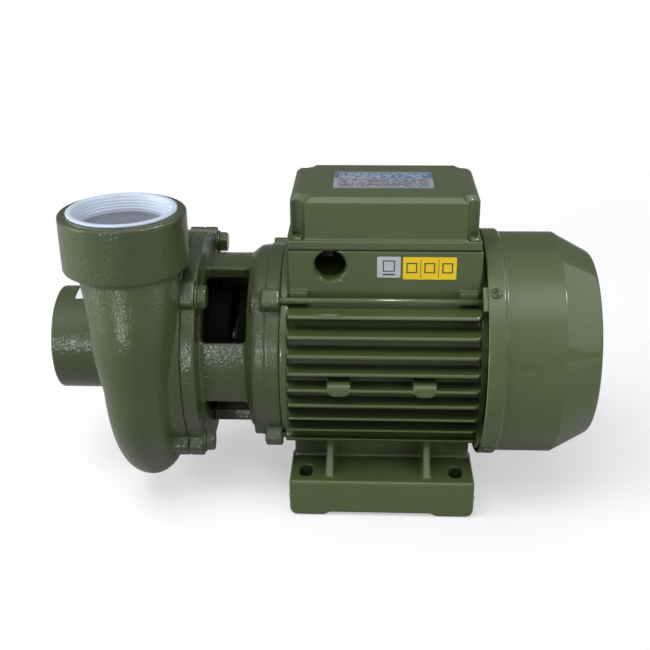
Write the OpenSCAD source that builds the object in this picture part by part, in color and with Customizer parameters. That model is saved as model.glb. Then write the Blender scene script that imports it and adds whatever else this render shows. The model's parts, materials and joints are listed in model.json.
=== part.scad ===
// Close-coupled centrifugal water pump with a single-phase motor.
// X runs along the shaft from the suction face to the fan, Z is up, and the origin is the centre of
// the suction face. Angles around the shaft are counted from the front (-Y) upward.

/* [Shaft line] */
// Height of the shaft above the floor
shaft_h = 100; // [99:0.5:102]
// Radius of the shaft at the shaft seal
shaft_r = 8; // [7.5:0.5:8]

/* [Pump casing] */
// Outer radius of the suction stub
stub_r = 35.3; // [34:0.1:37]
// Radius of both pipe threads at the crest
port_r = 28.33; // [27.8:0.01:28.6]
// Depth of the suction thread
port_depth = 24; // [18:1:30]
// Position of the joint between casing and bracket
joint_x = 93.5; // [93:0.5:94]
// Outer radius of the discharge collar
collar_r = 39.5; // [38:0.1:41]
// Height of the discharge face above the shaft
collar_top = 106.9; // [105:0.1:109]
// Height of the collar
collar_h = 35.3; // [34:0.1:37]
// Thickness of the volute wall
casing_wall = 5; // [4:0.5:6]
// Radius of the flange between casing and bracket
flange_r = 74.6; // [74:0.1:76]
// Radius of the circle of casing bolts
casing_pcr = 73.5; // [73:0.1:75]
// Radius of the casing bolts
casing_bolt_r = 4; // [3:0.5:4]

/* [Impeller] */
// Radius of the impeller
impeller_r = 58.5; // [54:0.5:60]
// Number of impeller vanes
vane_count = 6; // [5:1:7]
// Width of the impeller outlet
vane_w = 7; // [6.5:0.5:7]

/* [Motor] */
// Radius of the motor barrel
barrel_r = 62; // [61:0.5:63]
// Radius of the bore that holds the stator
bore_r = 57.5; // [57:0.1:58]
// Start of the finned barrel
barrel_x0 = 155.5; // [155:0.5:156]
// End of the finned barrel
barrel_x1 = 283.2; // [283.2:0.1:283.5]
// Radius over the tips of the fins
fin_tip_r = 74.2; // [70:0.1:74.5]
// Distance between two fins
fin_pitch = 11.2; // [11:0.1:11.4]
// Number of fins on each side
fin_count = 9; // [7:1:9]
// Thickness of a fin
fin_t = 2.6; // [2:0.1:3]
// Radius of the rotor
rotor_r = 30.7; // [28:0.1:30.8]
// Number of stator slots
slot_count = 24; // [18:6:24]

/* [Feet] */
// Distance from the shaft to the outer face of a foot
foot_y = 67.8; // [67:0.1:70]
// Height of a foot
foot_h = 26.9; // [24:0.1:28]
// Distance between the slots along the shaft
foot_pitch_x = 100; // [98:1:102]
// Distance between the slots across the shaft
foot_pitch_y = 107; // [106:1:108]
// Width of a foot slot
slot_w = 8.8; // [8:0.1:9]
// Length of a foot slot
slot_len = 14.6; // [12:0.1:15]

/* [Terminal box] */
// Left end of the box base
box_x0 = 160.2; // [160:0.1:161]
// Right end of the box base
box_x1 = 283.1; // [282:0.1:284]
// Half width of the box
box_y = 42.4; // [42:0.1:43]
// Height of the joint between base and lid
lid_z = 79.6; // [79:0.1:80]
// Height of the top of the lid
lid_top = 113.4; // [111:0.1:114]
// Radius of the cable entry thread at the crest
entry_r = 9.3; // [8:0.1:10]

/* [Fan cover] */
// Start of the fan cover
cover_x0 = 286; // [286:0.5:287]
// Radius of the rim of the cover
cover_rim_r = 77; // [76.5:0.1:77.5]
// Radius of the drum of the cover
cover_r = 75; // [74.5:0.1:75.5]
// End of the fan cover
cover_x1 = 359.5; // [359:0.5:362]
// Thickness of the sheet
sheet_t = 1.2; // [1:0.1:1.4]

/* [Hidden] */
$fn = 64;

olive = "#4d5a3a";
steel = "#b9bcc0";
black = "#1c1c1c";
gap = 0.05;          // clearance between parts that touch on the real pump
run = 0.03;          // running clearance of the bearings and of the shaft seal
over = 1;            // overshoot of a cutting tool past a face
quarter = [45, 135, 225, 315];

// Pump end
stub_end = 53;
volute_x = 65.5;
chamber_x = 58.3;
spigot_x = 76;
spigot_r = 66;
casing_flange_x = 83.4;
lug_r = 9;
collar_x = 59.8;
collar_y = -47.7;
plug_flange_r = 34;
plug_r = 30.6;
plug_depth = 12;
plug_cone = 2;
eye_r = 25.2;
vane_x0 = 62.5;
shroud_t = 3;
vane_x1 = vane_x0 + vane_w;
back_x = vane_x1 + shroud_t;
hub_r = 13;
hub_x1 = 84;
impeller_bore_r = 7;
key_w = 4;
nut_x0 = 55;
washer_x0 = 63.5;
impeller_hub_x0 = 65;

// Shaft seal
collar_seal_x = hub_x1 + gap;
spring_x0 = 87.1;
spring_x1 = 98.9;
face_x0 = 101;
seat_x0 = 105;
seat_r = 15;
cup_r = 17.4;
cup_x0 = 106.5;
cup_x1 = 113;

// Bracket
flange_x1 = 102.9;
neck_r = 59.2;
neck_inner_r = 51;
drum_r = 66;
drum_x0 = 135;
window_x0 = 104.3;
window_x1 = 133.5;
front_window = [21, 75];
rear_window = [120, 143];
seal_chamber_r = 20;
tie_r = 2.25;
tie_pcr = 68.6;

// Bearings: [bore radius, outer radius, start, end, ball radius]
front_bearing = [10, 23.5, 128, 142, 3.97];
rear_bearing = [8.5, 20, 284, 296, 3.38];
ball_count = 8;

// Motor
core_x0 = 176;
core_x1 = 266;
stator_inner_r = 31;
slot_in_r = 34;
slot_out_r = 49;
slot_half_w = 2.6;
winding_overhang = 13;
rotor_bar_count = 18;
rotor_bar_r = 2;
rotor_bar_pcr = 26;
core_seat_r = 13;
fin_x0 = 161;
fin_x1 = 283;
fin_top_z = 42.3;
foot_x0 = 160.3;
foot_x1 = 283;
foot_top = foot_h - shaft_h;
web_y = 35;
wall = 4;
lid_step_z = 86.1;
gasket_t = 0.8;
lid_screw_x = [166.6, 277.4];
lid_screw_y = 37.7;
entry_x = 187.2;
entry_z = 69.8;
entry_len = 10;
shield_x1 = 296;
cover_screw_x = 291;
cover_screw_a = 47;
board_x = 176.5;
stud_x = [board_x - 6, board_x + 6];
stud_y = [-12, 0, 12];
board_z = 72;
cap_r = 17.5;
cap_y = 17;
cap_z = 87;
cap_x0 = 200;
cap_x1 = 268;

// Places its children at an angle around the shaft, with their Z pointing away from the shaft.
module around(a, r = 0) rotate([90 - a, 0, 0]) translate([0, 0, r]) children();

// A bar along the shaft.
module bar(r, x0, x1) translate([x0, 0, 0]) rotate([0, 90, 0]) cylinder(r = r, h = x1 - x0);

// A bar along the shaft, at an angle and a distance from it.
module bar_at(a, pcr, r, x0, x1) around(a, pcr) bar(r, x0, x1);

// A ring around the shaft.
module ring(ro, ri, x0, x1) {
    difference() {
        bar(ro, x0, x1);
        bar(ri, x0 - over, x1 + over);
    }
}

// A turned part: the outline holds [radius, x].
module turned(outline) rotate([0, 90, 0]) rotate_extrude($fn = 128) polygon(outline);

// Turns a flat shape, drawn as [radius, x], from one angle around the shaft to another.
module sector(a0, a1) rotate([0, 90, 0]) rotate_extrude(angle = a1 - a0, start = -90 - a1, $fn = 128) children();

// A box given by its two corners.
module span(a, b) translate(a) cube(b - a);

// ---------------------------------------------------------------- pump casing

// The volute grows from the top, over the back and the bottom, to the front.
function volute_outer_r(a) = lookup(a, [[60, 74], [300, 94.5], [360, 92.8]]);
function volute_section_r(a) = lookup(a, [[60, 9], [300, 17], [360, 20.2]]);
function volute_centre_x(a) = lookup(a, [[60, volute_x], [300, volute_x], [360, 68]]);

// The spiral as short round sectors, each a little larger than the one before it.
module volute(first, inset) {
    step = 15;
    for (a = [first : step : 360 - step]) {
        m = a + step / 2;
        r = volute_section_r(m);
        sector(a, a + step) translate([volute_outer_r(m) - r, volute_centre_x(m)]) circle(r = r - inset);
    }
}

// A cone from one point to another.
module cone(p, q, r0, r1) {
    v = q - p;
    translate(p) rotate([0, acos(v.z / norm(v)), atan2(v.y, v.x)]) cylinder(r1 = r0, r2 = r1, h = norm(v));
}

// The discharge leg leaves the volute at the front and widens into the collar.
module discharge_leg(inset, top_r) {
    start = [68, -72.6, 0];
    middle = [65.6, -68.4, 39];
    top = [collar_x, collar_y - 2, 75];
    translate(start) sphere(r = 20.2 - inset);
    cone(start, middle, 20.2 - inset, 25.4 - inset);
    translate(middle) sphere(r = 26.2 - inset);
    cone(middle, top, 25.4 - inset, top_r);
}

// Four square lugs with rounded outer corners carry the casing bolts.
module lug(x0, x1) {
    corner = 4;
    flat = lug_r - corner;
    for (a = quarter) around(a, casing_pcr) {
        span([x0, -lug_r, -4], [x1, lug_r, flat]);
        span([x0, -flat, -4], [x1, flat, lug_r]);
        for (y = [-flat, flat]) translate([0, y, flat]) bar(corner, x0, x1);
    }
}

module pump_casing() color(olive) {
    difference() {
        union() {
            turned([[0, 0], [stub_r, 0], [stub_r, 46], [stub_r + 3, 50], [stub_r + 8, stub_end],
                [62, 55], [69, 60], [70.5, 66], [70.5, casing_flange_x], [flange_r, casing_flange_x],
                [flange_r, joint_x], [0, joint_x]]);
            volute(60, 0);
            discharge_leg(0, 36);
            translate([collar_x, collar_y, collar_top - collar_h]) cylinder(r = collar_r, h = collar_h);
            lug(casing_flange_x, joint_x);
        }
        turned([[0, -over], [port_r, -over], [port_r, port_depth],
            [eye_r + 0.3, port_depth + 8], [eye_r + 0.3, 56.5], [58, chamber_x], [spigot_r, 62],
            [spigot_r, joint_x + over], [0, joint_x + over]]);
        volute(90, casing_wall);
        discharge_leg(casing_wall, 27);
        // Thread of the discharge, and the counterbore that holds the plug
        translate([collar_x, collar_y, collar_top - collar_h + 3]) cylinder(r = port_r, h = collar_h);
        translate([collar_x, collar_y, collar_top - plug_depth - 0.5]) cylinder(r = plug_r + gap, h = plug_depth + 2);
        translate([collar_x, collar_y, collar_top - plug_cone])
            cylinder(r1 = plug_r + gap, r2 = plug_r + gap + plug_cone, h = plug_cone);
        for (a = quarter)
            bar_at(a, casing_pcr, casing_bolt_r + gap, casing_flange_x - over, joint_x + over);
    }
}

module casing_o_ring() color(black) {
    rotate([0, 90, 0]) rotate_extrude($fn = 128) translate([64.5, 86]) circle(r = 1.4);
}

// A blank label that follows the top of the suction stub.
module suction_label() color("white") {
    sector(70, 102) translate([stub_r + gap, 13.5]) square([0.2, 18]);
}

// A moulded transport plug: flange, tapered skirt and closed cup.
module outlet_plug() color("#e8ecf4") {
    translate([collar_x, collar_y, collar_top + gap]) rotate_extrude($fn = 128) polygon([[0, -plug_depth],
        [plug_r, -plug_depth], [plug_r, -0.1], [plug_flange_r - 0.6, 0], [plug_flange_r, 0.4],
        [plug_flange_r, 1.2], [plug_flange_r - 0.5, 1.6], [30.8, 1.6], [30.2, 1], [29.2, -3.4], [28, -3.8],
        [27.8, -7], [26.6, -7.4], [26.2, -plug_depth + 1.5], [0, -plug_depth + 1.5]]);
}

// ---------------------------------------------------------------- impeller and shaft seal

// A vane follows a spiral from the eye to the rim, swept back against the turning direction.
module vane() {
    steps = 10;
    inner = 20;
    outer = impeller_r - 0.4;
    sweep = 95;
    half = 1.4;
    function mid(i, side) = let (u = i / steps, r = inner + (outer - inner) * u, a = sweep * pow(u, 0.85))
        [(r + side * half * (1 - u)) * cos(a - side * half * 57.3 / r * u),
         (r + side * half * (1 - u)) * sin(a - side * half * 57.3 / r * u)];
    polygon(concat([for (i = [0 : steps]) mid(i, 1)], [for (i = [steps : -1 : 0]) mid(i, -1)]));
}

module impeller() color("#9a7b3c") {
    difference() {
        union() {
            turned([[22.5, 49], [eye_r, 49], [eye_r, 57.2], [impeller_r, vane_x0 - shroud_t + 0.8],
                [impeller_r, vane_x0], [26, vane_x0 - 2], [22.5, 57.5]]);
            turned([[0, impeller_hub_x0], [hub_r, impeller_hub_x0], [hub_r + 3, vane_x1], [impeller_r, vane_x1],
                [impeller_r, back_x], [hub_r + 6, back_x], [hub_r, hub_x1], [0, hub_x1]]);
            intersection() {
                rotate([0, 90, 0]) translate([0, 0, 57]) linear_extrude(vane_x1 - 56)
                    for (k = [0 : vane_count - 1]) rotate(360 * k / vane_count) vane();
                turned([[hub_r, impeller_hub_x0], [20, 58], [22.6, 58], [26, vane_x0 - 2.5],
                    [impeller_r, vane_x0 - 0.5], [impeller_r, vane_x1 + 0.5], [hub_r, vane_x1 + 0.5]]);
            }
        }
        bar(impeller_bore_r + gap, nut_x0, hub_x1 + over);
        span([washer_x0, -key_w / 2 - gap, 0], [hub_x1 + over, key_w / 2 + gap, 9.5]);
    }
}

module impeller_key() color(steel) {
    span([67, -key_w / 2, 5], [83, key_w / 2, 9.3]);
}

module impeller_washer() color(steel) ring(11, 5.2, washer_x0, impeller_hub_x0 - gap);

module impeller_nut() color("#b5964a") {
    difference() {
        rotate([0, 90, 0]) translate([0, 0, nut_x0]) cylinder(r = 9.2, h = washer_x0 - nut_x0 - gap, $fn = 6);
        bar(5 + gap, nut_x0 - over, washer_x0 + over);
    }
}

module seal_drive_collar() color(steel) {
    difference() {
        ring(15, shaft_r + gap, collar_seal_x, 87);
        ring(14, 12, 86, 87 + over);
    }
}

module seal_bellows() color(black) {
    turned([[shaft_r + gap, 87.1], [10.6, 87.1], [10.6, 97], [11.2, 98.6], [11.2, 99], [13.6, 99], [13.6, 100.9],
        [shaft_r + gap, 100.9]]);
}

// The spring is a round wire wound on a helix between the collar and the bellows.
module seal_spring() color(steel) {
    turns = 4;
    n = 8;
    steps = turns * 20;
    wire = 0.85;
    coil_r = 12.9;
    x0 = spring_x0 + wire;
    x1 = spring_x1 - wire;
    points = [for (j = [0 : steps]) for (i = [0 : n - 1])
        let (b = 360 * turns * j / steps, t = 360 * i / n, r = coil_r + wire * cos(t))
        [x0 + (x1 - x0) * j / steps + wire * sin(t), r * cos(b), r * sin(b)]];
    sides = [for (j = [0 : steps - 1]) for (i = [0 : n - 1])
        let (k = (i + 1) % n)
        each [[j * n + i, (j + 1) * n + k, j * n + k], [j * n + i, (j + 1) * n + i, (j + 1) * n + k]]];
    start_cap = [for (i = [1 : n - 2]) [0, i, i + 1]];
    end_cap = [for (i = [1 : n - 2]) [steps * n, steps * n + i + 1, steps * n + i]];
    polyhedron(points = points, faces = concat(sides, start_cap, end_cap));
}

module seal_face_ring() color("#333333") {
    turned([[shaft_r + gap, face_x0], [14, face_x0], [14, 103.4], [12.5, 103.4], [12.5, seat_x0 - run],
        [9.6, seat_x0 - run], [9.6, 103.4], [shaft_r + gap, 103.4]]);
}

module seal_seat() color("#ece6da") ring(seat_r, 9.4, seat_x0, 112);

module seal_seat_cup() color(black) {
    difference() {
        bar(cup_r, cup_x0, cup_x1);
        bar(seat_r + gap, cup_x0 - over, 112 + gap);
        bar(10, 111, cup_x1 + over);
    }
}

module slinger() color(black) {
    turned([[shaft_r + gap, 120.2], [11, 120.2], [17, 121.6], [17, 122.6], [11, 123.4], [shaft_r + gap, 123.4]]);
}

// ---------------------------------------------------------------- pump bracket

module drum_lugs() {
    for (a = quarter) {
        bar_at(a, tie_pcr, 6.6, 144, barrel_x0);
        around(a, tie_pcr - 6) span([144, -6.6, -2], [barrel_x0, 6.6, 6]);
        bar_at(a, tie_pcr - 6.5, 6.2, 137, 145);
    }
}

module pump_bracket() color(olive) {
    difference() {
        union() {
            // Spigot, flange and the boss that holds the shaft seal
            turned([[0, spigot_x], [spigot_r - gap, spigot_x], [spigot_r - gap, joint_x], [flange_r, joint_x],
                [flange_r, flange_x1], [neck_r + 1, flange_x1], [neck_r, window_x0], [neck_inner_r, window_x0],
                [50, 103.7], [33, 105.2], [29, 119], [0, 119]]);
            lug(joint_x, flange_x1);
            // Neck, bulkhead, drum and motor spigot
            ring(neck_r, neck_inner_r, 102, drum_x0 + 3);
            turned([[30, 124], [30, 134.5], [neck_inner_r - 2, 134.5], [neck_r, 134], [neck_r + 1, drum_x0],
                [64.8, 141], [drum_r, 145.4], [drum_r, barrel_x0], [bore_r - gap, barrel_x0],
                [bore_r - gap, barrel_x0 + 4.5], [53.5, barrel_x0 + 4.5], [53.5, 141], [30, 141],
                [30, front_bearing[3] + 0.3], [0, front_bearing[3] + 0.3], [0, 124]]);
            drum_lugs();
        }
        // Seal chamber, seat bore and shaft hole
        turned([[0, spigot_x - over], [46, spigot_x - over], [46, 86], [40, 95], [seal_chamber_r, 104.5],
            [seal_chamber_r, 105.8], [0, 105.8]]);
        bar(cup_r + gap, 105, cup_x1 + gap);
        bar(shaft_r + 1.6, spigot_x, 130);
        // Groove of the O-ring and seat of the front bearing
        ring(spigot_r + 2, 62.9, 84.3, 87.7);
        bar(front_bearing[1] + gap / 2, front_bearing[2] - 0.1, front_bearing[3] + over);
        bar(12, 123, 130);
        bar(21, 126.9, 129);
        for (a = quarter) {
            bar_at(a, casing_pcr, casing_bolt_r + 0.4, joint_x - over, flange_x1 + over);
            bar_at(a, tie_pcr, tie_r + gap, 146, barrel_x0 + over);
        }
        // Two wide windows in front and two narrow ones behind
        for (w = [front_window, rear_window, [360 - rear_window[1], 360 - rear_window[0]],
                [360 - front_window[1], 360 - front_window[0]]])
            sector(w[0], w[1])
                translate([neck_inner_r - 4, window_x0]) square([neck_r - neck_inner_r + 13, window_x1 - window_x0]);
    }
}

module casing_bolts() color(olive) {
    for (a = quarter) {
        bar_at(a, casing_pcr, casing_bolt_r, casing_flange_x + 0.6, flange_x1 + 2);
        around(a, casing_pcr) rotate([0, 90, 0]) translate([0, 0, flange_x1 + 1.6 + gap])
            cylinder(r = 7.5, h = 5.4, $fn = 6);
    }
}

module casing_bolt_washers() color(olive) {
    for (a = quarter) around(a, casing_pcr) ring(8, casing_bolt_r + 0.2, flange_x1 + gap / 2, flange_x1 + 1.6);
}

// ---------------------------------------------------------------- shaft and rotor

module shaft() color(steel) {
    difference() {
        turned([[0, 54], [4.5, 54], [5, 54.5], [5, impeller_hub_x0], [impeller_bore_r, impeller_hub_x0],
            [impeller_bore_r, hub_x1], [shaft_r, hub_x1], [shaft_r, 124.5], [front_bearing[0], 126],
            [front_bearing[0], front_bearing[3]], [12.5, front_bearing[3]], [12.5, 168], [core_seat_r, 168],
            [core_seat_r, 274], [12, 274], [12, rear_bearing[2]], [rear_bearing[0], rear_bearing[2]],
            [rear_bearing[0], rear_bearing[3] + 2], [7, rear_bearing[3] + 2], [7, 325], [6.2, 325], [6.2, 326.2],
            [7, 326.2], [7, 329], [6, 330], [0, 330]]);
        span([67 - gap, -key_w / 2 - gap, 5 - gap], [83 + gap, key_w / 2 + gap, 12]);
        span([300, -9, 5.5], [331, 9, 9]);
    }
}

module rotor_core() color("#6f7378") {
    difference() {
        ring(rotor_r, core_seat_r + gap, core_x0, core_x1);
        for (k = [0 : rotor_bar_count - 1])
            bar_at(360 * k / rotor_bar_count, rotor_bar_pcr, rotor_bar_r + gap, core_x0 - over, core_x1 + over);
    }
}

module rotor_cage() color("#c9ccd0") {
    ring(29.5, 17, core_x0 - 9, core_x0 - gap);
    ring(29.5, 17, core_x1 + gap, core_x1 + 9);
    for (k = [0 : rotor_bar_count - 1])
        bar_at(360 * k / rotor_bar_count, rotor_bar_pcr, rotor_bar_r, core_x0 - 1, core_x1 + 1);
}

// ---------------------------------------------------------------- stator

module stator_core() color("#7a7e83") {
    difference() {
        ring(bore_r - gap, stator_inner_r, core_x0, core_x1);
        for (k = [0 : slot_count - 1])
            around(360 * k / slot_count)
                span([core_x0 - over, -slot_half_w, slot_in_r], [core_x1 + over, slot_half_w, slot_out_r]);
    }
}

module stator_winding() color("#a4522a") {
    for (x0 = [core_x0 - winding_overhang, core_x1 + gap])
        turned([[slot_in_r + 0.5, x0 + 1.5], [slot_in_r + 2, x0], [slot_out_r + 1, x0], [slot_out_r + 3, x0 + 2],
            [slot_out_r + 3, x0 + winding_overhang - 2], [slot_out_r + 1, x0 + winding_overhang - gap],
            [slot_in_r + 2, x0 + winding_overhang - gap], [slot_in_r + 0.5, x0 + winding_overhang - 1.5]]);
    for (k = [0 : slot_count - 1])
        around(360 * k / slot_count)
            span([core_x0 - 2, -slot_half_w + 0.4, slot_in_r + 2], [core_x1 + 2, slot_half_w - 0.4, slot_out_r - 0.4]);
}

module motor_leads() color("#c03a2b") {
    for (y = [-4, 0, 4]) translate([170, y, slot_out_r + 3.4]) cylinder(r = 1.3, h = 15.5);
}

// ---------------------------------------------------------------- bearings

module bearing_ring(b, outer_ring) {
    x0 = b[2];
    x1 = b[3];
    mid_r = (b[0] + b[1]) / 2;
    difference() {
        if (outer_ring) ring(b[1], mid_r + b[4] * 0.62, x0, x1);
        else ring(mid_r - b[4] * 0.62, b[0] + gap / 2, x0, x1);
        translate([(x0 + x1) / 2, 0, 0]) rotate([0, 90, 0]) rotate_extrude($fn = 128)
            translate([mid_r, 0]) circle(r = b[4] + run);
    }
}

module bearing_balls(b) {
    for (k = [0 : ball_count - 1])
        around(360 * k / ball_count, (b[0] + b[1]) / 2) translate([(b[2] + b[3]) / 2, 0, 0]) sphere(r = b[4]);
}

module bearing_cage(b) {
    mid_r = (b[0] + b[1]) / 2;
    mid_x = (b[2] + b[3]) / 2;
    difference() {
        ring(mid_r + 1, mid_r - 1, mid_x - b[4] - 0.6, mid_x + b[4] + 0.6);
        for (k = [0 : ball_count - 1])
            around(360 * k / ball_count, mid_r) translate([mid_x, 0, 0]) sphere(r = b[4] + run);
    }
}

module front_bearing_outer() color(steel) bearing_ring(front_bearing, true);
module front_bearing_inner() color(steel) bearing_ring(front_bearing, false);
module front_bearing_balls() color("#dddddd") bearing_balls(front_bearing);
module front_bearing_cage() color("#a98a45") bearing_cage(front_bearing);
module rear_bearing_outer() color(steel) bearing_ring(rear_bearing, true);
module rear_bearing_inner() color(steel) bearing_ring(rear_bearing, false);
module rear_bearing_balls() color("#dddddd") bearing_balls(rear_bearing);
module rear_bearing_cage() color("#a98a45") bearing_cage(rear_bearing);

module wave_washer() color(steel) ring(19.8, 16.5, rear_bearing[3] + gap, rear_bearing[3] + 0.6);

// ---------------------------------------------------------------- motor frame

module fins() {
    for (k = [0 : fin_count - 1])
        intersection() {
            bar(fin_tip_r, fin_x0, fin_x1);
            for (side = [-1, 1]) {
                z = fin_top_z - k * fin_pitch;
                y = sqrt(pow(barrel_r - 1, 2) - z * z);
                span([fin_x0, side > 0 ? y : -fin_tip_r, z - fin_t / 2],
                    [fin_x1, side > 0 ? fin_tip_r : -y, z + fin_t / 2]);
            }
        }
}

module foot(side) {
    y0 = side > 0 ? web_y - 5 : -foot_y;
    y1 = side > 0 ? foot_y : 5 - web_y;
    span([foot_x0, y0, -shaft_h], [foot_x1, y1, foot_top]);
    // Web up to the barrel, and two gussets
    web0 = side > 0 ? web_y - 5 : -web_y;
    span([foot_x0 + 2, web0, foot_top - 1], [foot_x1 - 2, web0 + 5, -46]);
    for (x = [185.2, 249.8]) translate([x, 0, 0]) rotate([90, 0, 90]) linear_extrude(3.6)
        polygon([[side * (web_y - 1), foot_top - 1], [side * 61, foot_top - 1], [side * 61, foot_top],
            [side * 40, -46], [side * (web_y - 1), -46]]);
}

module foot_slots() {
    travel = (slot_len - slot_w) / 2;
    for (x = [171, 171 + foot_pitch_x])
        for (y = [-foot_pitch_y / 2, foot_pitch_y / 2]) {
            for (d = [-travel, travel])
                translate([x, y + d, -shaft_h - over]) cylinder(r = slot_w / 2, h = foot_h + 2 * over);
            span([x - slot_w / 2, y - travel, -shaft_h - over], [x + slot_w / 2, y + travel, foot_top + over]);
        }
}

module box_base() {
    difference() {
        span([box_x0, -box_y, 44], [box_x1, box_y, lid_z]);
        difference() {
            span([box_x0 + wall, wall - box_y, 40], [box_x1 - wall, box_y - wall, lid_z + over]);
            bar(barrel_r + 3, box_x0, box_x1);
        }
    }
    // Pillars for the lid screws
    for (x = lid_screw_x) for (y = [-lid_screw_y, lid_screw_y]) {
        translate([x, y, 50]) cylinder(r = 4.4, h = lid_z - 50);
    }
    intersection() {
        translate([entry_x, -box_y + entry_len, entry_z]) rotate([90, 0, 0]) cylinder(r = 14, h = entry_len - 0.5);
        span([box_x0, -box_y, 50], [box_x1, box_y, lid_z - 1]);
    }
    for (y = [-16, 16]) translate([board_x, y, 50]) cylinder(r = 3.5, h = board_z - 4 - gap - 50);
    // Saddles at the ends, which carry the tie bolts
    for (side = [-1, 1]) for (x = [161.5, 269.5])
        span([x, side * 45.5 - 6, 49.8], [x + 11.5, side * 45.5 + 6, 53.4]);
}

module motor_frame() color(olive) {
    difference() {
        union() {
            bar(barrel_r, barrel_x0 + gap, barrel_x1);
            bar(67, barrel_x0 + gap, barrel_x0 + 5);
            fins();
            for (side = [-1, 1]) {
                foot(side);
                // Cast channels for the two lower tie bolts
                bar_at(side < 0 ? 315 : 225, tie_pcr - 1, 5.2, barrel_x0 + 2, barrel_x1 - 1);
            }
            // Pads on the middle fins
            for (x = [186, 240.3]) for (side = [-1, 1])
                span([x, side > 0 ? 60 : -74.6, -6.2], [x + 14.8, side > 0 ? 74.6 : -60, 2.6]);
            box_base();
        }
        bar(bore_r, barrel_x0 - over, barrel_x1 + over);
        for (a = quarter) bar_at(a, tie_pcr, tie_r + 0.4, barrel_x0 - over, barrel_x1 + over);
        foot_slots();
        // Relief under the middle of the feet
        for (side = [-1, 1]) {
            span([187.3, side > 0 ? 20 : -foot_y - over, -shaft_h - over],
                [254.4, side > 0 ? foot_y + over : -20, 2.1 - shaft_h]);
            y0 = side > 0 ? web_y + 1 : 5 - foot_y;
            span([192, y0, -shaft_h - over], [250, y0 + foot_y - web_y - 6, foot_top - 5]);
        }
        // Cable entry, wire passage, holes of the lid, earth and clamp screws
        translate([entry_x, -box_y, entry_z]) rotate([90, 0, 0]) {
            translate([0, 0, -entry_len - over]) cylinder(r = entry_r, h = entry_len + 2 * over);
            translate([0, 0, -1.4]) cylinder(r1 = entry_r, r2 = entry_r + 2.4, h = 2.4);
        }
        span([166, -8, 50], [174, 8, 75]);
        for (x = lid_screw_x) for (y = [-lid_screw_y, lid_screw_y])
            translate([x, y, lid_z - 12]) cylinder(r = 2 + gap, h = 14);
        for (x = [cap_x0 + 16, cap_x1 - 16]) translate([x, cap_y - 22, 58]) cylinder(r = 1.5 + gap, h = 8);
        translate([230, -30, 52]) cylinder(r = 2 + gap, h = 20);
    }
}

module rear_end_shield() color(olive) {
    difference() {
        union() {
            turned([[0, rear_bearing[2] - 1], [24, rear_bearing[2] - 1], [28, barrel_x1 - 1.5],
                [54, barrel_x1 - 4], [bore_r - gap, barrel_x1 - 4], [bore_r - gap, barrel_x1 + gap],
                [61.5, barrel_x1 + gap], [61.5, barrel_x1 + 4], [56, barrel_x1 + 6], [28, barrel_x1 + 8],
                [25, shield_x1 + 3], [0, shield_x1 + 3]]);
            for (a = quarter) around(a, 60) span([barrel_x1 + gap, -8, -4], [shield_x1, 8, 14.6]);
        }
        bar(rear_bearing[1] + gap / 2, rear_bearing[2] - 0.1, rear_bearing[3] + 1.2);
        bar(15, rear_bearing[2] - 3, shield_x1 + 5);
        for (a = quarter) {
            bar_at(a, tie_pcr, tie_r + 0.3, barrel_x1 - over, shield_x1 + over);
            around(cover_angle(a), 0) translate([cover_screw_x, 0, 71.4]) cylinder(r = 1.75 + gap, h = 8);
        }
        ring(cover_rim_r + 3, 74.3, barrel_x1 - over, shield_x1 + over);
    }
}

// The cover screws stand just above the tie bolts on the upper half, and just below on the lower half.
function cover_angle(a) = a == 45 ? cover_screw_a : a == 135 ? 180 - cover_screw_a : a;

module tie_bolts() color(olive) {
    for (a = quarter) {
        bar_at(a, tie_pcr, tie_r, 147, shield_x1 + 1);
        around(a, tie_pcr) rotate([0, 90, 0]) translate([0, 0, shield_x1 + gap]) cylinder(r = 4.6, h = 3.5, $fn = 6);
    }
}

// ---------------------------------------------------------------- fan and cover

module cooling_fan() color("#2a2a2a") {
    difference() {
        union() {
            ring(11.5, 7 + gap, 302, 325 - gap);
            ring(56, 11, 304, 306.5);
            for (k = [0 : 7]) around(45 * k) span([305, -1, 10], [328, 1, 62]);
        }
        turned([[7 + gap, 325 - gap], [11, 325 - gap], [11, 330], [7 + gap, 330]]);
        turned([[40, 326], [64, 312], [64, 330], [40, 330]]);
    }
}

module fan_retaining_ring() color(steel) ring(9.6, 6.3, 325.1, 326.1);

module fan_cover() color(olive) {
    difference() {
        turned([[cover_rim_r - sheet_t, cover_x0], [cover_rim_r, cover_x0], [cover_rim_r, 296.5], [cover_r, 298.5],
            [cover_r, 334.5], [66.3, 350.5], [62.8, 357], [59.5, cover_x1], [0, cover_x1], [0, cover_x1 - sheet_t],
            [59, cover_x1 - sheet_t], [61.9, 356.2], [65.2, 350.1], [cover_r - sheet_t, 334.2],
            [cover_r - sheet_t, 299], [cover_rim_r - sheet_t, 297]]);
        for (a = quarter)
            around(cover_angle(a), 0) translate([cover_screw_x, 0, 70]) cylinder(r = 2.2, h = 10);
        // Air slots in three rows
        for (row = [0 : 2]) {
            r = 18 + 14 * row;
            for (k = [0 : 5])
                sector(60 * k + 5, 60 * k + 55) translate([r, cover_x1 - 5]) square([8, 10]);
        }
    }
}

module fan_cover_screws() color(olive) {
    for (a = quarter)
        around(cover_angle(a), 0) translate([cover_screw_x, 0, 0]) {
            difference() {
                translate([0, 0, cover_rim_r + gap]) cylinder(r = 3.9, h = 2.2);
                for (q = [0, 90]) rotate(q) translate([-2.2, -0.4, cover_rim_r + 1]) cube([4.4, 0.8, 3]);
            }
            translate([0, 0, 71.8]) cylinder(r = 1.75, h = 6);
        }
}

// ---------------------------------------------------------------- terminal box

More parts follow.
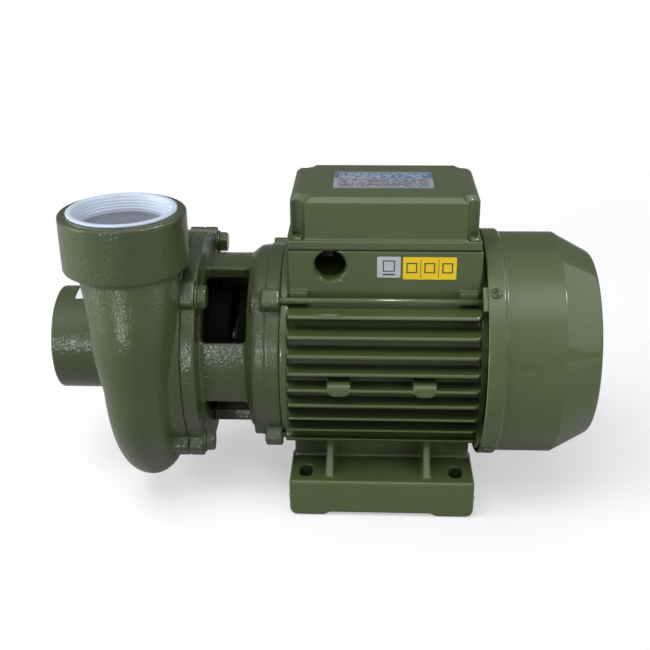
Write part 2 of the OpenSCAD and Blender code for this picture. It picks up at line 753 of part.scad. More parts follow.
module lid_outline(inset) {
    x0 = box_x0 + 1.9 + inset;
    x1 = box_x1 - 2.8 - inset;
    y = box_y - 2.4 - inset;
    difference() {
        translate([x0, -y]) square([x1 - x0, 2 * y]);
        for (x = lid_screw_x) for (s = [-1, 1]) translate([x, s * lid_screw_y]) circle(r = 6.3 + inset);
        for (x = [x0, x1]) for (s = [-1, 1]) translate([x, s * y]) rotate(45) square(9, center = true);
    }
}

module terminal_box_lid() color(olive) {
    bevel = 3.3;
    base_z = lid_z + gasket_t + gap;
    difference() {
        union() {
            span([box_x0 - 0.4, -box_y, base_z], [box_x1 - 1, box_y, lid_step_z]);
            translate([0, 0, base_z]) linear_extrude(lid_top - base_z) lid_outline(0);
        }
        translate([0, 0, base_z - over]) linear_extrude(lid_top - base_z + over - 2.6) lid_outline(2.6);
        // Bevel along the four top edges
        for (side = [-1, 1]) {
            translate([(box_x0 + box_x1) / 2, side * (box_y - 2.4), lid_top]) rotate([45, 0, 0])
                cube([200, bevel * 1.414, bevel * 1.414], center = true);
            translate([side > 0 ? box_x1 - 2.8 : box_x0 + 1.9, 0, lid_top]) rotate([0, 45, 0])
                cube([bevel * 1.414, 200, bevel * 1.414], center = true);
        }
        for (x = lid_screw_x) for (y = [-lid_screw_y, lid_screw_y])
            translate([x, y, lid_z]) cylinder(r = 2.3, h = 10);
    }
}

module lid_gasket() color(black) {
    difference() {
        span([box_x0 + 0.8, 0.8 - box_y, lid_z + gap / 2], [box_x1 - 1.6, box_y - 0.8, lid_z + gasket_t]);
        difference() {
            span([box_x0 + 5, 5 - box_y, lid_z - over], [box_x1 - 5.4, box_y - 5, lid_z + 3]);
            for (x = lid_screw_x) for (y = [-lid_screw_y, lid_screw_y])
                translate([x, y, lid_z - over]) cylinder(r = 4.4, h = 5);
        }
        for (x = lid_screw_x) for (y = [-lid_screw_y, lid_screw_y])
            translate([x, y, lid_z - over]) cylinder(r = 2.4, h = 5);
    }
}

module lid_screws() color(olive) {
    for (x = lid_screw_x) for (y = [-lid_screw_y, lid_screw_y]) translate([x, y, 0]) {
        difference() {
            translate([0, 0, lid_step_z + gap]) cylinder(r = 3.8, h = 2.6);
            for (q = [0, 90]) rotate(q + 20) translate([-2.2, -0.4, lid_step_z + 1.2]) cube([4.4, 0.8, 3]);
        }
        translate([0, 0, lid_z - 11]) cylinder(r = 2, h = lid_step_z - lid_z + 12);
    }
}

module rating_plate() color("#c4ccd6") span([188.4, -18, lid_top + gap], [252.4, 18, lid_top + 0.4]);

module box_label_grey() color("#cfd2d6") span([216.8, -box_y - 0.2, 62.4], [231.6, -box_y - gap, 76.4]);

module box_label_yellow() color("#f2c81e") {
    translate([233, 0, 62.2]) rotate([0, 1.5, 0]) span([0, -box_y - 0.2, 0], [33.2, -box_y - gap, 14]);
}

module terminal_board() color("#5a3524") {
    difference() {
        span([board_x - 12, -20, board_z - 4], [board_x + 12, 20, board_z]);
        for (x = stud_x) for (y = stud_y) translate([x, y, board_z - 6]) cylinder(r = 2 + gap, h = 10);
    }
}

module terminal_studs() color("#c9a24a") {
    for (x = stud_x) for (y = stud_y) translate([x, y, board_z - 3.8]) cylinder(r = 2, h = 16);
}

module terminal_nuts() color("#c9a24a") {
    for (x = stud_x) for (y = stud_y) translate([x, y, board_z + gap]) difference() {
        cylinder(r = 4, h = 3.2, $fn = 6);
        translate([0, 0, -over]) cylinder(r = 2 + gap, h = 6);
    }
}

module capacitor() color("#d9d9d4") {
    translate([0, cap_y, cap_z]) {
        bar(cap_r, cap_x0, cap_x1);
        bar(6, cap_x0 - 5, cap_x0 + 1);
    }
}

module capacitor_clamp() color(steel) {
    for (x = [cap_x0 + 12, cap_x1 - 20]) translate([x, 0, 0]) difference() {
        union() {
            translate([0, cap_y, cap_z]) rotate([0, 90, 0]) cylinder(r = cap_r + 1.2, h = 8);
            span([0, cap_y - cap_r - 1.2, 65.3], [8, cap_y - cap_r, cap_z]);
            span([0, cap_y - cap_r - 8.6, 65.3], [8, cap_y - cap_r, 66.5]);
        }
        translate([-over, cap_y, cap_z]) rotate([0, 90, 0]) cylinder(r = cap_r + gap, h = 10);
        span([-over, cap_y - cap_r, 60], [9, cap_y + 30, cap_z - 12]);
        translate([4, cap_y - 22, 60]) cylinder(r = 1.7, h = 10);
    }
}

module capacitor_clamp_screws() color(steel) {
    for (x = [cap_x0 + 16, cap_x1 - 16]) translate([x, cap_y - 22, 0]) {
        translate([0, 0, 66.5 + gap]) cylinder(r = 3, h = 1.8);
        translate([0, 0, 58.5]) cylinder(r = 1.5, h = 9);
    }
}

module earth_screw() color("#b5964a") {
    translate([230, -30, 0]) {
        translate([0, 0, 52.5]) cylinder(r = 2, h = 8);
        translate([0, 0, 59.9]) cylinder(r = 3.8, h = 2.4);
    }
}

pump_casing();
casing_o_ring();
pump_bracket();
casing_bolts();
casing_bolt_washers();
suction_label();
outlet_plug();
impeller();
impeller_key();
impeller_washer();
impeller_nut();
seal_seat();
seal_seat_cup();
seal_face_ring();
seal_bellows();
seal_spring();
seal_drive_collar();
slinger();
shaft();
rotor_core();
rotor_cage();
stator_core();
stator_winding();
motor_leads();
front_bearing_outer();
front_bearing_inner();
front_bearing_balls();
front_bearing_cage();
rear_bearing_outer();
rear_bearing_inner();
rear_bearing_balls();
rear_bearing_cage();
wave_washer();
motor_frame();
rear_end_shield();
tie_bolts();
cooling_fan();
fan_retaining_ring();
fan_cover();
fan_cover_screws();
terminal_box_lid();
lid_gasket();
lid_screws();
rating_plate();
box_label_grey();
box_label_yellow();
terminal_board();
terminal_studs();
terminal_nuts();
capacitor();
capacitor_clamp();
capacitor_clamp_screws();
earth_screw();
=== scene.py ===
"""Looks of the centrifugal water pump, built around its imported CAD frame.

Castings are signed distances on a grid, in millimetres, which are then meshed. Turned parts are lathed.
X runs along the shaft and the origin is the centre of the suction face. Angles around the shaft are
counted from the front (-Y) upward, and an outline is a list of (radius, x, fillet).
"""

import copy
import itertools
import json
import math

import bmesh
import bpy
import numpy as np
import openvdb as vdb
from mathutils import Matrix, Vector


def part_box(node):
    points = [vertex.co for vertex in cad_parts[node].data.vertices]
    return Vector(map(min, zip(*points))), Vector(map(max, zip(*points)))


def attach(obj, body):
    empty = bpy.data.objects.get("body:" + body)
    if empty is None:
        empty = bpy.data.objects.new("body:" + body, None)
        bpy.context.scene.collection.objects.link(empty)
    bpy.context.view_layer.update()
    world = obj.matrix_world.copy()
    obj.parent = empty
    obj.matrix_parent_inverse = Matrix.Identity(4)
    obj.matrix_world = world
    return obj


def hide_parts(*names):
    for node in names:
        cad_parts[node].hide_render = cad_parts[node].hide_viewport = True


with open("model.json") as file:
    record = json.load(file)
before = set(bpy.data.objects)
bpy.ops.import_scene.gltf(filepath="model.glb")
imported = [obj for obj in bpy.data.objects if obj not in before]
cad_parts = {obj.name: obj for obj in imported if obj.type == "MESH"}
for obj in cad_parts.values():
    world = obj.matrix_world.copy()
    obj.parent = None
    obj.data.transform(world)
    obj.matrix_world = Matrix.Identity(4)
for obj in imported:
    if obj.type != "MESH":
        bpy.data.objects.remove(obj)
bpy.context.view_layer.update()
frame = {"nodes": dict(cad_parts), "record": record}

MM = 0.001
FAR = 50.0                      # distance that counts as nowhere near, mm
QUARTERS = (45, 135, 225, 315)  # angles of the casing bolts and of the tie bolts
SLOTS = {part["node"]: part["material_slot"] for part in frame["record"]["subparts"]}
MOUNTS = {mount["name"]: np.array(mount["pos_m"]) / MM for mount in frame["record"]["mounts"]}
COARSE = 1.0


def span(node):
    """Lowest and highest corner of a CAD node, in millimetres."""
    lo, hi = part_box(node)
    return np.array(lo) / MM, np.array(hi) / MM


# ---------------------------------------------------------------- outlines

def rounded(corners, steps=7):
    """The closed outline through the corners (u, v, fillet), with each fillet as an arc."""
    points = []
    for i, (u, v, fillet) in enumerate(corners):
        here = np.array((u, v), float)
        if not fillet:
            points.append(here)
            continue
        back = np.array(corners[i - 1][:2], float) - here
        ahead = np.array(corners[(i + 1) % len(corners)][:2], float) - here
        back_len, ahead_len = np.linalg.norm(back), np.linalg.norm(ahead)
        back, ahead = back / back_len, ahead / ahead_len
        half = math.acos(np.clip(back @ ahead, -1, 1)) / 2
        reach = min(fillet / math.tan(half), 0.49 * back_len, 0.49 * ahead_len)
        radius = reach * math.tan(half)
        middle = (back + ahead) / np.linalg.norm(back + ahead)
        centre = here + middle * radius / math.sin(half)
        first, last = here + back * reach - centre, here + ahead * reach - centre
        turn = math.atan2(first[0] * last[1] - first[1] * last[0], first @ last)
        for k in range(steps + 1):
            t = turn * k / steps
            c, s = math.cos(t), math.sin(t)
            points.append(centre + np.array((c * first[0] - s * first[1], s * first[0] + c * first[1])))
    return np.array(points)


def outline_distance(outline, u, v):
    """Signed distance to a closed outline, negative inside."""
    u, v = np.broadcast_arrays(u, v)
    nearest = np.full(u.shape, FAR ** 2)
    inside = np.zeros(u.shape, bool)
    for (u0, v0), (u1, v1) in zip(outline, np.roll(outline, -1, axis=0)):
        du, dv = u1 - u0, v1 - v0
        length = du * du + dv * dv
        if length < 1e-12:
            continue
        t = np.clip(((u - u0) * du + (v - v0) * dv) / length, 0, 1)
        nearest = np.minimum(nearest, (u - u0 - du * t) ** 2 + (v - v0 - dv * t) ** 2)
        if dv:
            inside ^= ((v0 <= v) != (v1 <= v)) & (u < u0 + (v - v0) * du / dv)
    return np.where(inside, -1, 1) * np.sqrt(nearest)


# ---------------------------------------------------------------- solids on a grid

def soft_min(a, b, blend):
    """The lower of two distances, with a fillet of about this radius where they meet."""
    if not blend:
        return np.minimum(a, b)
    h = np.maximum(blend - np.abs(a - b), 0) / blend
    return np.minimum(a, b) - h * h * blend / 4


def soft_max(a, b, blend):
    return -soft_min(-a, -b, blend)


def block(coordinates, lo, hi, fillet=0.0):
    """Distance to a box with rounded edges. The coordinates are two or three arrays that broadcast."""
    q = [abs(c - (l + h) / 2) - (h - l) / 2 + fillet for c, l, h in zip(coordinates, lo, hi)]
    outside = np.sqrt(sum(np.maximum(v, 0) ** 2 for v in q))
    inside = q[0]
    for v in q[1:]:
        inside = np.maximum(inside, v)
    return outside + np.minimum(inside, 0) - fillet


def eased(place, marks, values, reach=6):
    """Values between marks, with the corners rounded off over a reach of a few millimetres."""
    fine = np.arange(marks[0] - reach, marks[-1] + reach + 1.0)
    window = np.ones(2 * reach + 1) / (2 * reach + 1)
    padded = np.interp(np.arange(fine[0] - reach, fine[-1] + reach + 1.0), marks, values)
    return np.interp(place, fine, np.convolve(padded, window, "valid"))


def rod(across, along, radius, lo, hi, fillet=0.0):
    """Distance to a rod, from the distance to its axis and the place along it."""
    return block((across, along), (-radius, lo), (radius, hi), fillet)


class Solid:
    """A solid as signed distances on a grid, in millimetres and negative inside."""

    def __init__(self, lo, hi, voxel, margin=2.5):
        self.voxel = voxel * COARSE
        self.start = np.array(lo, float) - margin
        counts = np.ceil((np.array(hi) - lo + 2 * margin) / self.voxel).astype(int) + 1
        x, y, z = ((s + self.voxel * np.arange(n)).astype(np.float32) for s, n in zip(self.start, counts))
        self.x, self.y, self.z = x[:, None, None], y[None, :, None], z[None, None, :]
        self.r = np.hypot(self.y, self.z)
        self.angle = np.degrees(np.arctan2(self.z, -self.y)) % 360
        self.d = np.full(counts, FAR, np.float32)

    def near(self, lo, hi, margin=4.0):
        """The part of the solid around a box. It shares its distances with the whole."""
        part = copy.copy(self)
        i, j, k = (slice(max(np.searchsorted(c.ravel(), l - margin), 0), np.searchsorted(c.ravel(), h + margin))
                   for c, l, h in zip((self.x, self.y, self.z), lo, hi))
        part.x, part.y, part.z = self.x[i], self.y[:, j], self.z[:, :, k]
        part.r, part.angle = self.r[:, j, k], self.angle[:, j, k]
        part.d = self.d[i, j, k]
        return part

    def near_spoke(self, angle, radius, x0, x1, size):
        """The part around a feature that stands at an angle and a radius, from x0 to x1."""
        a = math.radians(angle)
        y, z = -radius * math.cos(a), radius * math.sin(a)
        return self.near((x0, y - size, z - size), (x1, y + size, z + size))

    def spoke(self, angle):
        """Coordinates along the shaft, sideways and outward, as seen at an angle around the shaft."""
        c, s = math.cos(math.radians(angle)), math.sin(math.radians(angle))
        return self.x, self.y * s + self.z * c, self.z * s - self.y * c

    def add(self, distance, blend=0.0):
        self.d[...] = soft_min(self.d, distance, blend)

    def cut(self, distance, blend=0.0):
        self.d[...] = soft_max(self.d, -distance, blend)

    def turned(self, outline, pitch=0.2):
        """Distance to the outline (radius, x) turned around the shaft."""
        radii = np.arange(0, self.r.max() + 2 * pitch, pitch)
        table = outline_distance(outline, radii[None, :], self.x[:, 0]).astype(np.float32)
        i = (self.r[0] / pitch).astype(int)
        f = self.r / pitch - i
        return table[:, i] * (1 - f) + table[:, i + 1] * f

    def mesh(self, name, relief=0.0, cell=1.6):
        """The surface as a mesh object. Relief is the depth of the fine unevenness of a casting, mm."""
        grid = vdb.FloatGrid()
        grid.background = 3.0
        grid.copyFromArray(np.clip(self.d / self.voxel, -3, 3))
        points, quads = grid.convertToQuads(0.0)
        points = points.astype(float) * self.voxel + self.start
        mesh = mesh_of(name, points * MM, quads[:, ::-1])
        if relief:
            normals = np.zeros(len(points) * 3, np.float32)
            mesh.vertex_normals.foreach_get("vector", normals)
            lift = relief * (lattice_noise(points, cell, 1) + 0.6 * lattice_noise(points, 2.7 * cell, 2))
            points += normals.reshape(-1, 3) * lift[:, None]
            mesh.vertices.foreach_set("co", (points * MM).astype(np.float32).ravel())
            mesh.update()
        return object_of(name, mesh)


def lattice_noise(points, cell, seed):
    """Smooth noise from -1 to 1 at the points, between random values on a lattice."""
    place = (points - points.min(axis=0)) / cell
    i = np.floor(place).astype(int)
    f = place - i
    f = f * f * (3 - 2 * f)
    values = np.random.default_rng(seed).uniform(-1, 1, i.max(axis=0) + 2)
    total = np.zeros(len(points))
    for corner in itertools.product((0, 1), repeat=3):
        weight = np.where(corner, f, 1 - f).prod(axis=1)
        total += weight * values[tuple((i + corner).T)]
    return total


# ---------------------------------------------------------------- mesh objects

def mesh_of(name, points, faces):
    """A smooth mesh from points in metres and faces that all have the same number of corners."""
    mesh = bpy.data.meshes.new(name)
    corners = faces.shape[1]
    mesh.vertices.add(len(points))
    mesh.vertices.foreach_set("co", np.asarray(points, np.float32).ravel())
    mesh.loops.add(faces.size)
    mesh.loops.foreach_set("vertex_index", np.asarray(faces, np.int32).ravel())
    mesh.polygons.add(len(faces))
    mesh.polygons.foreach_set("loop_start", np.arange(0, faces.size, corners, dtype=np.int32))
    mesh.update(calc_edges=True)
    mesh.validate()
    mesh.shade_smooth()
    return mesh


def object_of(name, mesh):
    made = bpy.data.objects.new(name, mesh)
    bpy.context.scene.collection.objects.link(made)
    return made


def finished(piece, material, body, *nodes):
    """Gives a piece its material and its body, and hides the CAD nodes that it stands for."""
    piece.data.materials.clear()
    piece.data.materials.append(material)
    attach(piece, body)
    if nodes:
        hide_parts(*nodes)
    return piece


def lathe(name, outline, segments=192, axis="X", centre=(0, 0, 0), skip=None):
    """A closed outline (radius, place along the axis) turned around an axis. Skip leaves out faces of an open one."""
    n = len(outline)
    turns = np.arange(segments) * 2 * math.pi / segments
    radius, along = outline[:, 0], outline[:, 1]
    c, s = np.cos(turns)[:, None], np.sin(turns)[:, None]
    rows = np.broadcast_to(along, (segments, n))
    if axis == "X":
        points = np.stack((rows, -radius * c, radius * s), axis=2)
    else:
        points = np.stack((radius * c, radius * s, rows), axis=2)
    points = points.reshape(-1, 3) + centre
    i, j = np.meshgrid(np.arange(segments), np.arange(n if skip is None else n - 1), indexing="ij")
    i2, j2 = (i + 1) % segments, (j + 1) % n
    faces = np.stack((i * n + j, i2 * n + j, i2 * n + j2, i * n + j2), axis=2)
    if skip is not None:
        faces = faces[~skip(i, j)]
    faces = faces.reshape(-1, 4)
    if axis != "X":
        faces = faces[:, ::-1]
    mesh = mesh_of(name, points * MM, faces)
    b = bmesh.new()
    b.from_mesh(mesh)
    bmesh.ops.remove_doubles(b, verts=b.verts, dist=1e-6)
    bmesh.ops.dissolve_degenerate(b, edges=b.edges, dist=1e-7)
    bmesh.ops.delete(b, geom=[edge for edge in b.edges if not edge.link_faces], context="EDGES")
    bmesh.ops.recalc_face_normals(b, faces=b.faces)
    b.to_mesh(mesh)
    b.free()
    mesh.shade_smooth()
    return object_of(name, mesh)


# ---------------------------------------------------------------- material nodes

def shader(tree, kind, inputs=(), **settings):
    """A shader node. Inputs are (socket, value) pairs, and a value may be another node's output."""
    made = tree.nodes.new("ShaderNode" + kind)
    for key, value in settings.items():
        setattr(made, key, value)
    for socket, value in inputs:
        if isinstance(value, bpy.types.NodeSocket):
            tree.links.new(value, made.inputs[socket])
        else:
            made.inputs[socket].default_value = value
    return made


def new_material(name):
    """An empty material, its node tree and the place on the piece in metres."""
    material = bpy.data.materials.new(name)
    material.use_nodes = True
    tree = material.node_tree
    tree.nodes.clear()
    place = shader(tree, "TexCoord").outputs["Object"]
    return material, tree, place


def noise(tree, place, scale, detail=2.0, roughness=0.5):
    made = shader(tree, "TexNoise", [("Vector", place), ("Scale", scale), ("Detail", detail),
                                     ("Roughness", roughness)])
    return made.outputs["Fac"]


def remap(tree, value, lo, hi, new_lo=0.0, new_hi=1.0):
    made = shader(tree, "MapRange", [("Value", value), ("From Min", lo), ("From Max", hi),
                                     ("To Min", new_lo), ("To Max", new_hi)])
    return made.outputs["Result"]


def mix(tree, amount, a, b):
    """Colour a, turning to colour b as the amount goes to 1."""
    made = shader(tree, "Mix", data_type="RGBA")
    for socket, value in ((0, amount), (6, a), (7, b)):
        if isinstance(value, bpy.types.NodeSocket):
            tree.links.new(value, made.inputs[socket])
        else:
            made.inputs[socket].default_value = value
    return made.outputs[2]


def math_node(tree, operation, a, b=0.0):
    made = shader(tree, "Math", [(0, a), (1, b)], operation=operation)
    return made.outputs[0]


def bump(tree, height, depth, strength=1.0, normal=None):
    inputs = [("Height", height), ("Distance", depth * MM), ("Strength", strength)]
    if normal is not None:
        inputs.append(("Normal", normal))
    return shader(tree, "Bump", inputs).outputs["Normal"]


def surface(tree, inputs):
    """The principled shader and the material's output."""
    made = shader(tree, "BsdfPrincipled", inputs)
    output = shader(tree, "OutputMaterial")
    tree.links.new(made.outputs[0], output.inputs[0])


def rgba(colour, factor=1.0):
    return tuple(c * factor for c in colour) + (1.0,)


def bars(tree, place, axis, lo, hi):
    """1 where the place along an axis lies between lo and hi, in metres."""
    along = shader(tree, "SeparateXYZ", [(0, place)]).outputs[axis]
    above = math_node(tree, "GREATER_THAN", along, lo)
    below = math_node(tree, "LESS_THAN", along, hi)
    return math_node(tree, "MULTIPLY", above, below)


OLIVE = (0.072, 0.096, 0.032)
IRON_AND_PAINTED_SHADE = (0.007, 0.0065, 0.006)


def paint(name, grain=0.0, peel=0.02, colour=OLIVE, gloss=0.34, bare_and_shaded=None):
    """Gloss enamel. Grain is the depth of the sand-cast texture under it, and peel that of the paint itself, mm.

    The bare room, (radius, x0, x1) around the shaft in millimetres, was left unpainted; its iron is given a
    near-black colour that is partly painted shade.
    """
    material, tree, place = new_material(name)
    shade = mix(tree, noise(tree, place, 28, 3), rgba(colour, 0.90), rgba(colour, 1.10))
    # Edges are lighter: thinner enamel there, and partly a painted highlight
    edge = shader(tree, "NewGeometry").outputs["Pointiness"]
    thin_paint_and_highlight = remap(tree, edge, 0.54, 0.64, 0.0, 0.3)
    shade = mix(tree, thin_paint_and_highlight, shade, rgba(colour, 1.8))
    # Crevices get painted shade: a darker colour from ambient occlusion. They also take less of the coat
    shut = shader(tree, "AmbientOcclusion", [("Distance", 0.016)], samples=6, only_local=True).outputs["AO"]
    open_to_light = remap(tree, shut, 0.15, 0.8, 0.12, 1.0)
    shade = mix(tree, open_to_light, rgba(colour, 0.25), shade)
    normal = bump(tree, noise(tree, place, 380, 2), peel)
    coat, gleam = open_to_light, 0.4
    if grain:
        hollow = remap(tree, edge, 0.47, 0.40, 0.0, 0.35)
        shade = mix(tree, hollow, shade, rgba(colour, 0.45))
        sand = noise(tree, place, 560, 3, 0.55)
        patches = remap(tree, noise(tree, place, 45, 2), 0.35, 0.65, 0.5, 1.0)
        normal = bump(tree, math_node(tree, "MULTIPLY", sand, patches), grain, normal=normal)
    rough = remap(tree, noise(tree, place, 90, 3), 0.3, 0.7, gloss - 0.05, gloss + 0.08)
    # The unpainted iron inside is near black: bare metal, and partly painted shade
    if bare_and_shaded:
        radius, x0, x1 = bare_and_shaded
        parts = shader(tree, "SeparateXYZ", [(0, place)]).outputs
        squares = [math_node(tree, "POWER", parts[axis], 2.0) for axis in (1, 2)]
        reach = math_node(tree, "SQRT", math_node(tree, "ADD", *squares))
        inside = math_node(tree, "LESS_THAN", reach, radius * MM)
        inside = math_node(tree, "MULTIPLY", inside, bars(tree, place, 0, x0 * MM, x1 * MM))
        shade = mix(tree, inside, shade, rgba(IRON_AND_PAINTED_SHADE))
        rough = math_node(tree, "MAXIMUM", rough, math_node(tree, "MULTIPLY", inside, 0.7))
        coat = math_node(tree, "SUBTRACT", coat, inside)
        gleam = remap(tree, inside, 0.0, 1.0, gleam, 0.05)
    surface(tree, [("Base Color", shade), ("Roughness", rough), ("Normal", normal), ("Specular IOR Level", gleam),
                   ("Coat Weight", coat), ("Coat Roughness", 0.05), ("Coat Normal", normal)])
    return material


def metal(name, colour, rough, lines=0.0, axis="X", grain=0.01):
    """Bare metal. Lines is the number of tool marks in a millimetre along the axis."""
    material, tree, place = new_material(name)
    tint = mix(tree, noise(tree, place, 60, 4), rgba(colour, 0.78), rgba(colour, 1.15))
    height = noise(tree, place, 700, 3)
    if lines:
        wave = shader(tree, "TexWave", [("Vector", place), ("Scale", lines * 50), ("Distortion", 0.6),
                                        ("Detail", 2.0)], wave_type="BANDS", bands_direction=axis)
        height = math_node(tree, "ADD", height, wave.outputs["Fac"])
    rough_map = remap(tree, noise(tree, place, 240, 3), 0.3, 0.7, rough * 0.75, rough * 1.3)
    surface(tree, [("Base Color", tint), ("Metallic", 1.0), ("Roughness", rough_map),
                   ("Normal", bump(tree, height, grain))])
    return material


def moulded(name, colour, rough, grain=0.02, sheen=0.0, clear=0.0, painted_shade_below=None):
    """Plastic, rubber, ceramic or carbon, with slight flow marks and a fine skin.

    Below a height given in millimetres, the colour is painted darker towards the bottom, as painted shade.
    """
    material, tree, place = new_material(name)
    flow = noise(tree, place, 22, 4)
    tint = mix(tree, flow, rgba(colour, 0.9), rgba(colour, 1.08))
    if painted_shade_below is not None:
        # Painted shade: the colour darkens towards the bottom
        height = shader(tree, "SeparateXYZ", [(0, place)]).outputs[2]
        painted_shade = remap(tree, height, (painted_shade_below + 3) * MM, painted_shade_below * MM)
        tint = mix(tree, painted_shade, tint, rgba(colour, 0.3))
    skin = math_node(tree, "ADD", noise(tree, place, 900, 2), noise(tree, place, 120, 2))
    rough_map = remap(tree, noise(tree, place, 150, 3), 0.3, 0.7, rough * 0.85, rough * 1.15)
    surface(tree, [("Base Color", tint), ("Roughness", rough_map), ("Normal", bump(tree, skin, grain)),
                   ("Subsurface Weight", sheen), ("Subsurface Radius", (0.003, 0.003, 0.004)),
                   ("Coat Weight", clear), ("Coat Roughness", 0.2)])
    return material


MATERIALS = {
    "cast_iron_paint": paint("cast_iron_paint", grain=0.5, peel=0.12, gloss=0.38, bare_and_shaded=(50.4, 100, 134.3),
                             colour=(0.052, 0.069, 0.024)),
    "frame_paint": paint("frame_paint", peel=0.03),
    "sheet_paint": paint("sheet_paint", peel=0.012, gloss=0.3),
    "fastener_paint": paint("fastener_paint", grain=0.06, peel=0.03, colour=(0.066, 0.088, 0.031)),
    "plug_plastic": moulded("plug_plastic", (0.56, 0.63, 0.74), 0.38, painted_shade_below=span("outlet_plug")[0][2] + 2),
    "label_white": moulded("label_white", (0.80, 0.83, 0.88), 0.45, grain=0.005),
    "label_grey": moulded("label_grey", (0.52, 0.53, 0.56), 0.42, grain=0.005),
    "label_yellow": moulded("label_yellow", (0.85, 0.60, 0.02), 0.4, grain=0.005),
    "plate": metal("plate", (0.55, 0.58, 0.64), 0.35, lines=3, axis="Y"),
    "zinc_steel": metal("zinc_steel", (0.60, 0.61, 0.58), 0.3),
    "bright_steel": metal("bright_steel", (0.62, 0.63, 0.65), 0.12),
    "turned_steel": metal("turned_steel", (0.50, 0.51, 0.53), 0.25, lines=3),
    "laminations": metal("laminations", (0.30, 0.31, 0.33), 0.42, lines=2, grain=0.05),
    "copper": metal("copper", (0.62, 0.24, 0.10), 0.3, lines=1, grain=0.15),
    "brass": metal("brass", (0.62, 0.44, 0.17), 0.28, grain=0.02),
    "raw_aluminium": metal("raw_aluminium", (0.55, 0.56, 0.58), 0.45, grain=0.05),
    "black_rubber": moulded("black_rubber", (0.018, 0.018, 0.018), 0.62),
    "red_cable": moulded("red_cable", (0.45, 0.04, 0.03), 0.35),
    "fan_plastic": moulded("fan_plastic", (0.025, 0.025, 0.028), 0.48, grain=0.04),
    "board_plastic": moulded("board_plastic", (0.035, 0.017, 0.011), 0.5),
    "capacitor_plastic": moulded("capacitor_plastic", (0.68, 0.68, 0.65), 0.35),
    "carbon": moulded("carbon", (0.03, 0.03, 0.032), 0.3),
    "ceramic": moulded("ceramic", (0.72, 0.68, 0.60), 0.25, clear=0.5),
}

for cad_name, cad_object in frame["nodes"].items():
    cad_object.data.materials.clear()
    cad_object.data.materials.append(MATERIALS[SLOTS[cad_name]])

# ---------------------------------------------------------------- pump casing

casing_lo, casing_hi = span("pump_casing")
joint_x = span("pump_bracket")[0][0] + 17.5
collar_top = casing_hi[2]
collar_x, collar_y = MOUNTS["discharge_port"][:2]
STUB_R = 35.3
FLANGE_R = 74.6
PORT_R = 28.33
COLLAR_R = 39.5
COLLAR_H = 35.3
BOLT_R = 73.5


def thread(solid_angle, along, pitch, depth):
    """How far a thread's groove stands outside its crest."""
    phase = (along / pitch + solid_angle / 360) % 1
    return depth * (1 - abs(2 * phase - 1))


def lugs(solid, x0, x1):
    """Four square lugs with rounded corners for the casing bolts."""
    for angle in QUARTERS:
        part = solid.near_spoke(angle, BOLT_R, x0, x1, 15)
        x, side, out = part.spoke(angle)
        shape = block((side, out), (-9, BOLT_R - 12), (9, BOLT_R + 9), 4)
        part.add(soft_max(shape, abs(x - (x0 + x1) / 2) - (x1 - x0) / 2, 1.2), 2.5)


